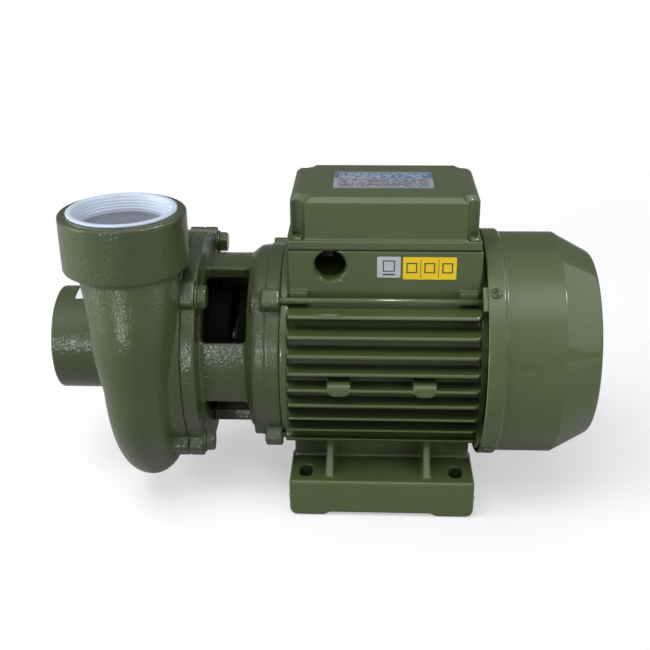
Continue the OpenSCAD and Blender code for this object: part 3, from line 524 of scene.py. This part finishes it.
def pump_casing():
    solid = Solid(casing_lo, casing_hi, 0.75)
    x, y, z, r, a = solid.x, solid.y, solid.z, solid.r, solid.angle
    solid.add(solid.turned(rounded([
        (0, 0, 0), (STUB_R, 0, 1.4), (STUB_R, 50, 7), (64, 54.5, 9), (69.5, 63, 6),
        (69.5, joint_x - 10.1, 1.5), (FLANGE_R, joint_x - 10.1, 1.2), (FLANGE_R, joint_x, 0.8), (0, joint_x, 0)])))
    # The volute grows from the top, over the back and the bottom, to the front
    outer = np.interp(a, [0, 60, 300, 360], [60, 74, 94.5, 92.8])
    section = np.interp(a, [0, 60, 300, 360], [3, 9, 17, 20.9])
    centre = np.interp(a, [0, 60, 300, 360], [65.5, 65.5, 64.8, 65.4])
    spiral = np.sqrt((r - outer + section) ** 2 + (x - centre) ** 2)
    # The discharge leg leaves it at the front and widens into the collar
    heights = [-12, 0, 12, 25, 39, 56, 72, 90]
    leg_r = eased(z, heights, [19.6, 21.2, 23.2, 25.2, 26.4, 28.6, 31.5, 33.5])
    leg_x = eased(z, heights, [65.2, 65.4, 64.6, 64.4, 65.2, 64.2, 62.0, 60.5])
    leg_y = eased(z, heights, [-71.4, -71.8, -71.0, -69.8, -68.0, -61.6, -53.2, -48.7])
    leg = np.sqrt((x - leg_x) ** 2 + (y - leg_y) ** 2)
    leg_shell = soft_max(0.9 * (leg - leg_r), abs(z - 36) - 46, 4)
    solid.add(np.minimum(spiral - section, leg_shell), 4.5)
    bore = np.hypot(x - collar_x, y - collar_y)
    solid.add(rod(bore, z, COLLAR_R, collar_top - COLLAR_H, collar_top, 1.6), 2.2)
    lugs(solid, joint_x - 10.1, joint_x)
    # Waterways
    wall = 5
    chamber = solid.turned(rounded([
        (0, 20, 0), (25.5, 20, 0), (25.5, 56.5, 0), (58, 58.3, 2), (66, 62, 2), (66, joint_x + 5, 0), (0, joint_x + 5, 0)]))
    passage = np.where(a > 80, spiral - section + wall, FAR)
    leg_bore = np.maximum(leg - leg_r + wall, abs(z - 40) - 52)
    solid.cut(soft_min(np.minimum(passage, leg_bore), chamber, 3), 1)
    port_thread = thread(a, x, 2.31, 1.3) * (x > 1.5)
    solid.cut(rod(r, x, PORT_R + port_thread, -5, 24, 0), 0.6)
    turn = np.degrees(np.arctan2(y - collar_y, x - collar_x))
    outlet_thread = thread(turn, z, 2.31, 1.3)
    solid.cut(rod(bore, z, PORT_R + outlet_thread, collar_top - 32, collar_top + 5, 0))
    seat = 30.7 + np.maximum(z - collar_top + 2, 0)
    solid.cut(np.maximum(bore - seat, collar_top - 12.6 - z), 0.5)
    for angle in QUARTERS:
        part = solid.near_spoke(angle, BOLT_R, joint_x - 12, joint_x, 6)
        _, side, out = part.spoke(angle)
        part.cut(np.hypot(side, out - BOLT_R) - 4.1)
    return solid.mesh("casing_shell", relief=0.06, cell=1.3)


# ---------------------------------------------------------------- pump bracket

TIE_R = 68.6
bracket_hi_x = span("pump_bracket")[1][0]
drum_x1 = bracket_hi_x - 4.5
flange_x1 = joint_x + 9.4


def pump_bracket():
    lo, hi = span("pump_bracket")
    solid = Solid(lo, hi, 0.65)
    solid.add(solid.turned(rounded([
        (0, lo[0], 0), (65.95, lo[0], 0.6), (65.95, joint_x, 0), (FLANGE_R, joint_x, 0.8),
        (FLANGE_R, flange_x1, 1.4), (59.2, flange_x1, 3), (59.2, 132.4, 3), (64.6, 139, 7), (65.3, 145.6, 0.4),
        (66.1, 146.4, 0.5), (66.1, drum_x1, 0.9), (57.45, drum_x1, 0), (57.45, hi[0], 0.6), (53.5, hi[0], 0),
        (53.5, 141, 3), (30, 141, 2), (30, 142.3, 0), (0, 142.3, 0), (0, 124, 0), (30, 124, 2), (30, 134.5, 3),
        (51, 134.5, 4), (51, 104.3, 2), (33, 105.2, 2.5), (29, 119, 3), (0, 119, 0)])))
    lugs(solid, joint_x, flange_x1)
    for angle in QUARTERS:
        part = solid.near_spoke(angle, TIE_R - 3, 134, drum_x1, 14)
        x, side, out = part.spoke(angle)
        ear = block((side, out), (-6.6, TIE_R - 12), (6.6, TIE_R + 6.6), 3)
        part.add(soft_max(ear, abs(x - (drum_x1 + 144) / 2) - (drum_x1 - 144) / 2, 1.4), 2)
        boss = rod(np.hypot(side, out - TIE_R + 6.5), x, 6.2, 136.6, 146, 1.4)
        part.add(boss, 2.2)
    # Windows between the seal housing and the motor
    x, r = solid.x, solid.r
    for middle, half in ((48, 27), (131.5, 11.5), (228.5, 11.5), (312, 27)):
        arc = np.radians((solid.angle - middle + 180) % 360 - 180) * 55
        reach = np.radians(half) * 55
        window = block((x, arc), (104.3, -reach), (133.5, reach), 3.2)
        solid.cut(np.maximum(window, abs(r - 57) - 12), 1.2)
    # Seal chamber, seats and bores
    solid.cut(solid.turned(rounded([
        (0, lo[0] - 3, 0), (46, lo[0] - 3, 0), (46, 86, 3), (40, 95, 3), (20, 104.5, 2), (20, 105.8, 0),
        (17.5, 105.8, 0), (17.5, 113.1, 0), (9.6, 113.1, 0), (9.6, 123, 0), (12, 123, 0), (12, 126.9, 0),
        (21, 126.9, 0), (21, 128, 0), (23.6, 128, 0), (23.6, 146, 0), (0, 146, 0)])), 0.5)
    solid.cut(block((r, x), (62.9, 84.3), (70, 87.7), 0.3))
    for angle in QUARTERS:
        part = solid.near_spoke(angle, BOLT_R, joint_x - 2, flange_x1 + 2, 6)
        _, side, out = part.spoke(angle)
        part.cut(np.hypot(side, out - BOLT_R) - 4.4)
        part = solid.near_spoke(angle, TIE_R, 146, drum_x1 + 2, 4)
        x, side, out = part.spoke(angle)
        part.cut(np.maximum(np.hypot(side, out - TIE_R) - 2.4, 146 - x))
    return solid.mesh("bracket_casting", relief=0.055, cell=1.2)


# ---------------------------------------------------------------- motor frame

frame_lo, frame_hi = span("motor_frame")
FLOOR_Z = frame_lo[2]
FOOT_TOP = FLOOR_Z + 26.9
FIN_PITCH = 11.2
FIN_TOP_Z = 42.3
BARREL_R = 62
FIN_TIP_R = 74.2


def motor_frame():
    solid = Solid(frame_lo, frame_hi, 0.62)
    x, y, z, r = solid.x, solid.y, solid.z, solid.r
    x0, x1 = frame_lo[0], frame_hi[0]
    box_hi = frame_hi[2]
    solid.add(solid.turned(rounded([
        (50, x0, 0), (67, x0, 0.8), (67, x0 + 5, 1), (BARREL_R, x0 + 5, 1.5), (BARREL_R, x1, 0.8),
        (50, x1, 0)])))
    # Nine fins on each side, thinner at the tip, with rounded ends
    k = np.clip(np.round((FIN_TOP_Z - z) / FIN_PITCH), 0, 8)
    off = abs(z - (FIN_TOP_Z - FIN_PITCH * k))
    half = 1.05 + 0.045 * (FIN_TIP_R - r)
    blade = np.maximum(block((x, r), (161, 20), (300, FIN_TIP_R), 0.6),
                       block((x, r), (120, 20), (x1 - 0.1, FIN_TIP_R), 5))
    sides = np.where(abs(y) > 20, 0, FAR)
    solid.add(soft_max(blade, off - half, 0.7) + sides, 1.3)
    # Pads on the middle fins, with sloped tops
    for px in (186, 240.3):
        for side in (-1, 1):
            lo, hi = sorted((side * 58, side * 74.6))
            part = solid.near((px, lo, -10), (px + 14.8, hi, 8))
            reach = side * part.y
            shape = block((part.x, reach, part.z), (px, 50, -6.2), (px + 14.8, 74.6, 3), 0.9)
            corner = 0.707 * (abs(part.x - px - 7.4) - part.z - 10.4)
            shape = soft_max(shape, corner, 0.8)
            shape = soft_max(shape, 0.83 * (part.z - 3.6 + 0.68 * (reach - 70)), 0.8)
            part.add(shape, 1.0)
    # Feet with a web up to the barrel, gussets and a parting line
    for side in (-1, 1):
        reach = side * y
        foot = block((x, reach, z), (160.3, 25, FLOOR_Z), (283, 67.8, FOOT_TOP), 2.2)
        corner = (abs(x - 221.65) - 61.35) + (FLOOR_Z + 3.2 - z)
        foot = soft_max(foot, 0.7 * corner, 2)
        line = block((x, reach, z), (159.9, 60, FOOT_TOP - 12.3), (283.4, 68.2, FOOT_TOP - 11.4), 0.3)
        web = block((x, reach, z), (162.3, 30, FOOT_TOP - 6), (281, 35, -38), 1)
        solid.add(np.minimum(soft_min(foot, web, 2.5), line), 1.2)
        for gx in (187, 251.6):
            thick = 2.0 + 0.02 * np.maximum(-46 - z, 0)
            rib = soft_max(block((reach, z), (28, FOOT_TOP - 3), (62.5, -40)), abs(x - gx) - thick, 0.7)
            slope = 0.77 * (z + 46 + (reach - 40) * 1.22)
            solid.add(soft_max(rib, slope, 1.2), 1.6)
    channel = [np.hypot(y - side * 47.8, z + 47.8) for side in (-1, 1)]
    solid.add(rod(np.minimum(*channel), x, 5.2, x0 + 2, x1 - 1, 0.8), 2)
    # Terminal box base with two mould lines and saddles for the tie bolts
    base = block((x, y, z), (160.2, -42.4, 40), (283.1, 42.4, box_hi + 3), 1.6)
    base = soft_max(base, z - box_hi, 0.8)
    for line_x in (173, 232):
        line = block((x, y, z), (line_x - 0.45, -42.8, 46), (line_x + 0.45, 42.8, box_hi - 0.3), 0.3)
        base = np.minimum(base, line)
    solid.add(base, 1.5)
    for side in (-1, 1):
        for sx in (161.5, 269.5):
            saddle = block((x, side * y, z), (sx, 36, 46.6), (sx + 11.5, 46.2, 53.5), 0.5)
            solid.add(saddle, 0.5)
    room = block((x, y, z), (164.2, -38.4, 30), (279.1, 38.4, box_hi + 8), 2)
    room = soft_max(room, 65 - r, 1)
    pillars = np.minimum.reduce([np.hypot(x - px, y - py) for px in (166.6, 277.4) for py in (-37.7, 37.7)])
    room = soft_max(room, 4.6 - pillars, 1)
    entry_x, _, entry_z = MOUNTS["cable_entry"]
    entry = np.hypot(x - entry_x, z - entry_z)
    room = soft_max(room, -rod(entry, y, 14, -60, -32.5, 1), 1)
    solid.cut(room, 0.6)
    # Stator bore, foot slots, relief under the feet, cable entry
    solid.cut(rod(r, x, 57.5, 140, 300), 0.5)
    slots = np.hypot(x - np.where(x < 221, 171, 271), np.maximum(abs(abs(y) - 53.5) - 2.9, 0)) - 4.4
    solid.cut(np.maximum(slots, z - FOOT_TOP - 5), 0.8)
    solid.cut(block((x, z), (184.6, FLOOR_Z - 8), (257.1, FLOOR_Z + 2.1), 3.5), 2.5)
    for side in (-1, 1):
        solid.cut(block((x, side * y, z), (192, 36, FLOOR_Z - 9), (250, 62.8, FOOT_TOP - 5), 2.5), 1)
    turn = np.degrees(np.arctan2(z - entry_z, x - entry_x))
    grooves = thread(turn, y, 2.4, 1.1)
    mouth = np.maximum(-y - 41.4, 0)
    solid.cut(rod(entry, y, 9.7 + grooves + mouth, -60, -30, 0), 0.3)
    for angle in QUARTERS:
        part = solid.near_spoke(angle, TIE_R, x0 - 2, x1 + 2, 6)
        _, side, out = part.spoke(angle)
        part.cut(np.hypot(side, out - TIE_R) - 2.7)
    screws = pillars - 2.05
    solid.cut(np.maximum(screws, box_hi - 12 - z))
    return solid.mesh("frame_casting", relief=0.025)


# ---------------------------------------------------------------- terminal box lid

def box_lid():
    lo, hi = span("terminal_box_lid")
    solid = Solid(lo, hi, 0.5)
    x, y, z = solid.x, solid.y, solid.z
    step_z = lo[2] + 5.7
    bx0, bx1 = lo[0] + 2.25, hi[0] - 1.8
    middle = (bx0 + bx1) / 2
    half = (bx1 - bx0) / 2
    corner = np.hypot(abs(x - 222) - 55.4, abs(y) - 37.7)
    cut_45 = 0.707 * (abs(x - middle) - half + abs(y) - 40 + 7.2)

    def body(inset, top):
        shape = block((x, y), (bx0 + inset, -40 + inset), (bx1 - inset, 40 - inset), 1.5)
        shape = soft_max(shape, 5.2 + inset - corner, 0.6)
        shape = soft_max(shape, cut_45 + inset, 0.6)
        bevel = 0.707 * (shape + z - hi[2] + 3.4)
        return soft_max(soft_max(shape, z - top, 0.6), bevel + inset, 0.6)

    lip = block((x, y, z), (lo[0], lo[1], lo[2] - 3), (hi[0], hi[1], step_z), 1.1)
    lip = soft_max(lip, lo[2] - z, 0.5)
    solid.add(lip)
    solid.add(soft_max(body(0, hi[2]), lo[2] - z, 0.5), 1.6)
    solid.cut(body(2.6, hi[2] - 2.6), 0.5)
    screws = np.minimum.reduce([np.hypot(x - px, y - py) for px in (166.6, 277.4) for py in (-37.7, 37.7)])
    solid.cut(np.maximum(screws - 2.3, z - step_z - 2))
    return solid.mesh("lid_casting", relief=0.012)


# ---------------------------------------------------------------- fan cover

def fan_cover():
    """Pressed steel cowl: an open outline of the outer face, slotted at the end, then given its thickness."""
    lo, hi = span("fan_cover")
    x0, x1 = lo[0], hi[0]
    corners = [(76.4, x0, 0), (77, x0 + 0.6, 0.5), (77, x0 + 10.4, 1.2), (75, x0 + 12.3, 1.2),
               (75, 334.5, 1.2), (66.3, 350.5, 5), (61.5, x1, 4.5), (56, x1, 0)]
    body = rounded(corners + [(40, 250, 0)])[:-1]
    rows = [54, 50, 46, 43, 40, 36, 32, 29, 26, 22, 18, 12, 6, 0]
    end = np.array([(r, x1) for r in rows])
    outline = np.vstack((body, end))
    radii = outline[:, 0]

    def slot(i, j):
        middle = (radii[j] + radii[(j + 1) % len(radii)]) / 2
        row = (middle > 18) & (middle < 54) & ((middle - 18) % 14 < 8)
        return row & (abs(i % 60 - 29.5) < 25)

    cover = lathe("cowl", outline, 360, skip=slot)
    wall = cover.modifiers.new("wall", "SOLIDIFY")
    wall.thickness = 1.2 * MM
    wall.offset = -1
    edge = cover.modifiers.new("edge", "BEVEL")
    edge.width = 0.25 * MM
    edge.segments = 2
    edge.limit_method = "ANGLE"
    edge.angle_limit = math.radians(50)
    return cover


# ---------------------------------------------------------------- plug, bolts and screws

def outlet_plug():
    lo, hi = span("outlet_plug")
    face = hi[2] - 1.6
    steps = []
    for k in range(5):
        steps += [(29.7 - 0.62 * k, -1.2 - 1.75 * k, 0.25), (29.25 - 0.62 * k, -1.5 - 1.75 * k, 0.25)]
    outline = rounded([(0, -12, 0), (30.6, -12, 1), (30.6, -0.1, 0), (33.4, -0.1, 0.3), (34, 0.4, 0.4),
                       (34, 1.2, 0.5), (33.4, 1.6, 0.4), (30.9, 1.6, 0.6), (30.2, 0.6, 0.5)] + steps
                      + [(26.4, -10.5, 1.0), (0, -10.5, 0)], 4)
    centre = ((lo[0] + hi[0]) / 2, (lo[1] + hi[1]) / 2, face)
    return lathe("transport_plug", outline, 128, axis="Z", centre=centre)


def hex_head(name, radius, height, voxel=0.28):
    """A chamfered hexagon head that stands on z = 0."""
    solid = Solid((-radius, -radius, 0), (radius, radius, height), voxel, margin=1.5)
    flat = radius * math.cos(math.radians(30))
    sides = np.maximum.reduce([abs(solid.x * math.cos(t) + solid.y * math.sin(t)) - flat
                               for t in (math.radians(30), math.radians(90), math.radians(150))])
    across = np.hypot(solid.x, solid.y)
    chamfer = 0.87 * (across - radius + 0.6 + 0.57 * (solid.z - height + 0.6))
    head = soft_max(sides, abs(solid.z - height / 2) - height / 2, 0.5)
    solid.add(soft_max(head, chamfer, 0.5))
    return solid.mesh(name)


def cross_head(name, radius, height, voxel=0.16):
    """A pan head with a cross recess that stands on z = 0."""
    solid = Solid((-radius, -radius, 0), (radius, radius, height), voxel, margin=1.0)
    x, y, z = solid.x, solid.y, solid.z
    across = np.hypot(x, y)
    dome = np.sqrt(across ** 2 + ((z + 0.4) * radius / (height + 0.4)) ** 2) - radius
    solid.add(soft_max(soft_max(dome, across - radius + 0.15, 0.4), -z, 0.3))
    depth = 0.5 * (across - 2.3)
    for u, v in ((x, y), (y, x)):
        arm = np.maximum(abs(u) - 0.42, abs(v) - 2.2)
        solid.cut(np.maximum(arm, height - 1.3 - z + np.maximum(depth + 0.6, 0)), 0.25)
    return solid.mesh(name)


def shank(name, radius, length):
    """A plain rod that runs down from z = 0."""
    outline = rounded([(0, 0.2, 0), (radius, 0.2, 0), (radius, -length, 0.4), (0, -length, 0)], 3)
    return lathe(name, outline, 32, axis="Z")


def joined(name, parts):
    """One object out of several."""
    b = bmesh.new()
    for part in parts:
        part.data.transform(part.matrix_world)
        b.from_mesh(part.data)
    mesh = bpy.data.meshes.new(name)
    b.to_mesh(mesh)
    b.free()
    mesh.shade_smooth()
    for part in parts:
        bpy.data.objects.remove(part)
    return object_of(name, mesh)


def placed(source, position, up, spin=0.0):
    """A copy of an object with its Z pointing up and its origin at the position in millimetres."""
    made = object_of(source.name, source.data.copy())
    turn = Vector(up).normalized().to_track_quat("Z", "Y").to_matrix().to_4x4()
    made.matrix_world = Matrix.Translation(Vector(position) * MM) @ turn @ Matrix.Rotation(spin, 4, "Z")
    return made


def outward(angle):
    a = math.radians(angle)
    return np.array((0, -math.cos(a), math.sin(a)))


def casing_bolts():
    head = joined("bolt", [hex_head("head", 7.5, 5.4), shank("rod", 4, 19.4)])
    copies = [placed(head, outward(a) * BOLT_R + (flange_x1 + 1.65, 0, 0), (1, 0, 0), math.radians(17 + a))
              for a in QUARTERS]
    bpy.data.objects.remove(head)
    return joined("flange_bolts", copies)


def casing_washers():
    rings = []
    for a in QUARTERS:
        x0 = flange_x1 + 0.03
        outline = rounded([(4.2, x0, 0.2), (8, x0, 0.3), (8, x0 + 1.55, 0.4), (4.2, x0 + 1.55, 0.2)], 3)
        rings.append(lathe("washer", outline, 48, centre=outward(a) * BOLT_R))
    return joined("flange_washers", rings)


def tie_bolts():
    """Long rods from the bracket to the fan end, with a rolled thread in front."""
    x0, x1 = span("tie_bolts")[0][0], span("tie_bolts")[1][0]
    thread_x1, pitch, core = 176, 1.0, 2.0
    ridge = [(core if i % 2 else 2.3, x) for i, x in enumerate(np.arange(x0 + 0.5, thread_x1, pitch / 2))]
    outline = np.array([(0, x0)] + ridge + [(2.1, thread_x1 + 1), (2.1, x1 - 3.5), (0, x1 - 3.5)])
    bolts = []
    for a in QUARTERS:
        centre = outward(a) * TIE_R
        bolts.append(lathe("rod", outline, 32, centre=centre))
        head = hex_head("head", 4.6, 3.4)
        bolts.append(placed(head, centre + (x1 - 3.45, 0, 0), (1, 0, 0), math.radians(11 + a)))
        bpy.data.objects.remove(head)
    return joined("tie_rods", bolts)


def lid_screws():
    z = span("lid_screws")[1][2]
    screw = joined("screw", [cross_head("head", 3.8, 2.5), shank("rod", 2, 17)])
    copies = [placed(screw, (px, py, z - 2.55), (0, 0, 1), math.radians(20 + 31 * i))
              for i, (px, py) in enumerate(itertools.product((166.6, 277.4), (-37.7, 37.7)))]
    bpy.data.objects.remove(screw)
    return joined("box_screws", copies)


def cover_screws():
    screw = joined("screw", [cross_head("head", 3.9, 2.2), shank("rod", 1.75, 5.2)])
    rim = 77.05
    copies = [placed(screw, outward(a) * rim + (291, 0, 0), outward(a), math.radians(10 + 25 * i))
              for i, a in enumerate((47, 133, 225, 315))]
    bpy.data.objects.remove(screw)
    return joined("cowl_screws", copies)


# ---------------------------------------------------------------- labels

def sheet(name, node, corner, up="Z"):
    """A thin plate with rounded corners in the place of a flat CAD label."""
    lo, hi = span(node)
    if up == "Z":
        u0, v0, u1, v1 = lo[0], lo[1], hi[0], hi[1]
    else:
        u0, v0, u1, v1 = lo[0], lo[2], hi[0], hi[2]
    outline = rounded([(u0, v0, corner), (u1, v0, corner), (u1, v1, corner), (u0, v1, corner)], 6)
    b = bmesh.new()
    if up == "Z":
        ring = [b.verts.new(Vector((u, v, lo[2])) * MM) for u, v in outline]
        lift = Vector((0, 0, hi[2] - lo[2])) * MM
    else:
        ring = [b.verts.new(Vector((u, hi[1], v)) * MM) for u, v in outline]
        lift = Vector((0, lo[1] - hi[1], 0)) * MM
    face = b.faces.new(ring)
    top = bmesh.ops.extrude_face_region(b, geom=[face])
    bmesh.ops.translate(b, verts=[v for v in top["geom"] if isinstance(v, bmesh.types.BMVert)], vec=lift)
    bmesh.ops.recalc_face_normals(b, faces=b.faces)
    mesh = bpy.data.meshes.new(name)
    b.to_mesh(mesh)
    b.free()
    return object_of(name, mesh)


def printed(name, base, ink, boxes, rough=0.4, metallic=0.0):
    """A film or a foil with plain blocks of ink. Each box is (axis, lo, hi, axis, lo, hi) in millimetres."""
    material, tree, place = new_material(name)
    tint = mix(tree, noise(tree, place, 70, 3), rgba(base, 0.92), rgba(base, 1.06))
    for colour, (axis_a, a0, a1, axis_b, b0, b1) in zip(ink, boxes):
        inside = math_node(tree, "MULTIPLY", bars(tree, place, axis_a, a0 * MM, a1 * MM),
                           bars(tree, place, axis_b, b0 * MM, b1 * MM))
        tint = mix(tree, inside, tint, rgba(colour))
    skin = noise(tree, place, 160, 3)
    rough_map = remap(tree, skin, 0.3, 0.7, rough * 0.8, rough * 1.2)
    surface(tree, [("Base Color", tint), ("Roughness", rough_map), ("Metallic", metallic),
                   ("Normal", bump(tree, skin, 0.03))])
    return material


# ---------------------------------------------------------------- the pieces

finished(pump_casing(), MATERIALS["cast_iron_paint"], "housing", "pump_casing")
finished(pump_bracket(), MATERIALS["cast_iron_paint"], "housing", "pump_bracket")
finished(motor_frame(), MATERIALS["frame_paint"], "housing", "motor_frame")
finished(box_lid(), MATERIALS["frame_paint"], "housing", "terminal_box_lid")
finished(fan_cover(), MATERIALS["sheet_paint"], "housing", "fan_cover")
finished(outlet_plug(), MATERIALS["plug_plastic"], "plug", "outlet_plug")
finished(casing_bolts(), MATERIALS["fastener_paint"], "housing", "casing_bolts")
finished(casing_washers(), MATERIALS["fastener_paint"], "housing", "casing_bolt_washers")
finished(tie_bolts(), MATERIALS["fastener_paint"], "housing", "tie_bolts")
finished(lid_screws(), MATERIALS["fastener_paint"], "housing", "lid_screws")
finished(cover_screws(), MATERIALS["fastener_paint"], "housing", "fan_cover_screws")

FOIL = (0.42, 0.43, 0.50)
FOIL_INK = (0.08, 0.08, 0.13)
YELLOW = (0.80, 0.56, 0.015)
GREY = (0.47, 0.48, 0.51)
INK = (0.035, 0.033, 0.03)


def frame_of(axis_v, u0, u1, v0, v1, line):
    """Two boxes, ink and then film, that leave a thin outline."""
    return [(0, u0, u1, axis_v, v0, v1), (0, u0 + line, u1 - line, axis_v, v0 + line, v1 - line)]



def plate_print():
    """Foil with a blue upper part, and rows of plain dashes of random length in the place of writing."""
    lo, hi = span("rating_plate")
    row_pitch = 3.1 * MM
    material, tree, place = new_material("plate_print")
    x, y, _ = shader(tree, "SeparateXYZ", [(0, place)]).outputs
    rows = math_node(tree, "DIVIDE", y, row_pitch)
    on_row = math_node(tree, "LESS_THAN", math_node(tree, "FRACT", rows), 0.5)
    row_place = shader(tree, "CombineXYZ", [(0, math_node(tree, "MULTIPLY", x, 420.0)),
                                            (1, math_node(tree, "MULTIPLY", math_node(tree, "FLOOR", rows), 7.3))])
    dash = math_node(tree, "GREATER_THAN", noise(tree, row_place.outputs[0], 1.0, 1), 0.47)
    ink = math_node(tree, "MULTIPLY", on_row, dash)
    ink = math_node(tree, "MULTIPLY", ink, bars(tree, place, 0, (lo[0] + 3) * MM, (hi[0] - 3) * MM))
    ink = math_node(tree, "MULTIPLY", ink, bars(tree, place, 1, (lo[1] + 2) * MM, (hi[1] - 2) * MM))
    upper = bars(tree, place, 1, (hi[1] - 15) * MM, (hi[1] - 1) * MM)
    blue = mix(tree, noise(tree, place, 300, 2), (0.05, 0.13, 0.24, 1), (0.20, 0.34, 0.46, 1))
    base = mix(tree, upper, mix(tree, noise(tree, place, 200, 3), rgba(FOIL, 0.85), rgba(FOIL, 1.15)), blue)
    marks = mix(tree, upper, rgba(FOIL_INK), (0.62, 0.68, 0.74, 1))
    surface(tree, [("Base Color", mix(tree, ink, base, marks)), ("Metallic", 0.35), ("Roughness", 0.3),
                   ("Normal", bump(tree, noise(tree, place, 160, 3), 0.03))])
    return material


finished(sheet("rating_foil", "rating_plate", 2), plate_print(), "housing", "rating_plate")

grey_lo, grey_hi = span("box_label_grey")
grey = sheet("label_grey_film", "box_label_grey", 0.8, "Y")
marks = frame_of(2, grey_lo[0] + 3.6, grey_hi[0] - 3.6, grey_lo[2] + 4, grey_hi[2] - 2.5, 0.7)
marks.append((0, grey_lo[0] + 3.6, grey_hi[0] - 3.6, 2, grey_lo[2] + 1.6, grey_lo[2] + 2.6))
finished(grey, printed("grey_print", GREY, [INK, GREY, INK], marks), "housing", "box_label_grey")

# Yellow label: three thin frames between two dividers
yellow_lo, yellow_hi = span("box_label_yellow")
yellow = sheet("label_yellow_film", "box_label_yellow", 0.8, "Y")
third = (yellow_hi[0] - yellow_lo[0]) / 3
marks, inks = [], []
for column in range(3):
    u = yellow_lo[0] + third * column
    marks += frame_of(2, u + 2.2, u + third - 2.2, yellow_lo[2] + 4.2, yellow_hi[2] - 3.8, 0.8)
    inks += [INK, YELLOW]
for column in (1, 2):
    u = yellow_lo[0] + third * column
    marks.append((0, u - 0.2, u + 0.2, 2, yellow_lo[2] + 1.2, yellow_hi[2] - 1.2))
    inks.append(INK)
finished(yellow, printed("yellow_print", YELLOW, inks, marks), "housing", "box_label_yellow")

# ---------------------------------------------------------------- floor, light and camera

FLOOR_SIZE = 6.0


def stage():
    b = bmesh.new()
    bmesh.ops.create_grid(b, x_segments=1, y_segments=1, size=FLOOR_SIZE / 2)
    mesh = bpy.data.meshes.new("floor")
    b.to_mesh(mesh)
    b.free()
    floor = object_of("floor", mesh)
    floor.location = (0.18, 0, FLOOR_Z * MM - 0.0002)
    material, tree, place = new_material("floor")
    tint = mix(tree, noise(tree, place, 3, 2), (0.90, 0.90, 0.90, 1), (0.93, 0.93, 0.93, 1))
    # To the camera it fades into the white room; the object sees a darker floor
    away = shader(tree, "VectorMath", [(0, place)], operation="LENGTH").outputs["Value"]
    fade = remap(tree, away, 0.25, 1.1)
    matt = shader(tree, "BsdfDiffuse", [("Color", tint)])
    glow = shader(tree, "Emission", [("Color", (1, 1, 1, 1)), ("Strength", 1.0)])
    pale = shader(tree, "MixShader", [(0, math_node(tree, "MAXIMUM", fade, 0.45)), (1, matt.outputs[0]),
                                      (2, glow.outputs[0])])
    dull = shader(tree, "BsdfDiffuse", [("Color", (0.30, 0.30, 0.29, 1))])
    seen = shader(tree, "LightPath").outputs["Is Camera Ray"]
    both = shader(tree, "MixShader", [(0, seen), (1, dull.outputs[0]), (2, pale.outputs[0])])
    output = shader(tree, "OutputMaterial")
    tree.links.new(both.outputs[0], output.inputs[0])
    floor.data.materials.append(material)


def softbox(name, place, size, power, only=None):
    """An area light aimed at the pump. Only "diffuse" leaves no reflection in the paint, and only "glossy" nothing else."""
    lamp = bpy.data.lights.new(name, "AREA")
    lamp.shape = "RECTANGLE"
    lamp.size, lamp.size_y = size
    lamp.energy = power
    made = object_of(name, lamp)
    made.location = place
    made.visible_camera = False
    made.visible_glossy = only != "diffuse"
    made.visible_diffuse = only != "glossy"
    made.rotation_euler = (Vector((0.18, 0, 0)) - Vector(place)).to_track_quat("-Z", "Y").to_euler()


def surroundings():
    """White to the camera, and a soft grey room to everything else."""
    world = bpy.data.worlds.new("room")
    world.use_nodes = True
    tree = world.node_tree
    tree.nodes.clear()
    seen = shader(tree, "LightPath").outputs["Is Camera Ray"]
    white = shader(tree, "Background", [("Color", (1, 1, 1, 1)), ("Strength", 1.0)])
    place = shader(tree, "TexCoord").outputs["Generated"]
    toward = shader(tree, "VectorMath", [(0, place), (1, (0.0, -0.42, 0.907))], operation="DOT_PRODUCT")
    wide = remap(tree, toward.outputs["Value"], 0.25, 0.97, 0.0, 0.45)
    core = remap(tree, toward.outputs["Value"], 0.90, 0.99, 0.0, 0.9)
    sky = math_node(tree, "ADD", math_node(tree, "ADD", wide, core), 0.13)
    room = shader(tree, "Background", [("Color", (0.95, 0.98, 1.0, 1)), ("Strength", sky)])
    both = shader(tree, "MixShader", [(0, seen), (1, room.outputs[0]), (2, white.outputs[0])])
    output = shader(tree, "OutputWorld")
    tree.links.new(both.outputs[0], output.inputs[0])
    bpy.context.scene.world = world


def camera():
    """The place and the direction from which the object is seen."""
    lens = bpy.data.cameras.new("camera")
    lens.lens = 56.73
    lens.sensor_width = 36
    made = object_of("camera", lens)
    right, up = Vector((0.9991, 0.0427, -0.0075)), Vector((-0.0106, 0.4088, 0.9126))
    back = right.cross(up)
    turn = Matrix((right, up, back)).transposed().to_4x4()
    made.matrix_world = Matrix.Translation((0.2116, -0.6440, 0.2990)) @ turn
    lens.clip_start, lens.clip_end = 0.01, 20
    bpy.context.scene.camera = made


stage()
surroundings()
softbox("key", (-0.25, -0.6, 1.5), (1.0, 0.8), 13, "diffuse")
softbox("sun", (-0.3, -1.4, 0.16), (0.22, 0.12), 3, "glossy")
softbox("left", (-1.25, -0.35, 0.28), (0.7, 0.7), 20, "diffuse")
softbox("glow", (-1.4, -0.3, 0.4), (1.2, 1.0), 6, "glossy")
softbox("fill", (1.35, -0.8, 0.2), (0.8, 0.8), 10, "diffuse")
softbox("back", (0.2, 1.7, 0.5), (1.6, 0.8), 12, "diffuse")
softbox("right", (1.7, 0.1, 0.75), (1.8, 1.6), 6, "glossy")
softbox("edge", (1.1, -0.35, 1.2), (0.25, 0.25), 8, "glossy")
camera()
bpy.context.scene.view_settings.view_transform = "Standard"
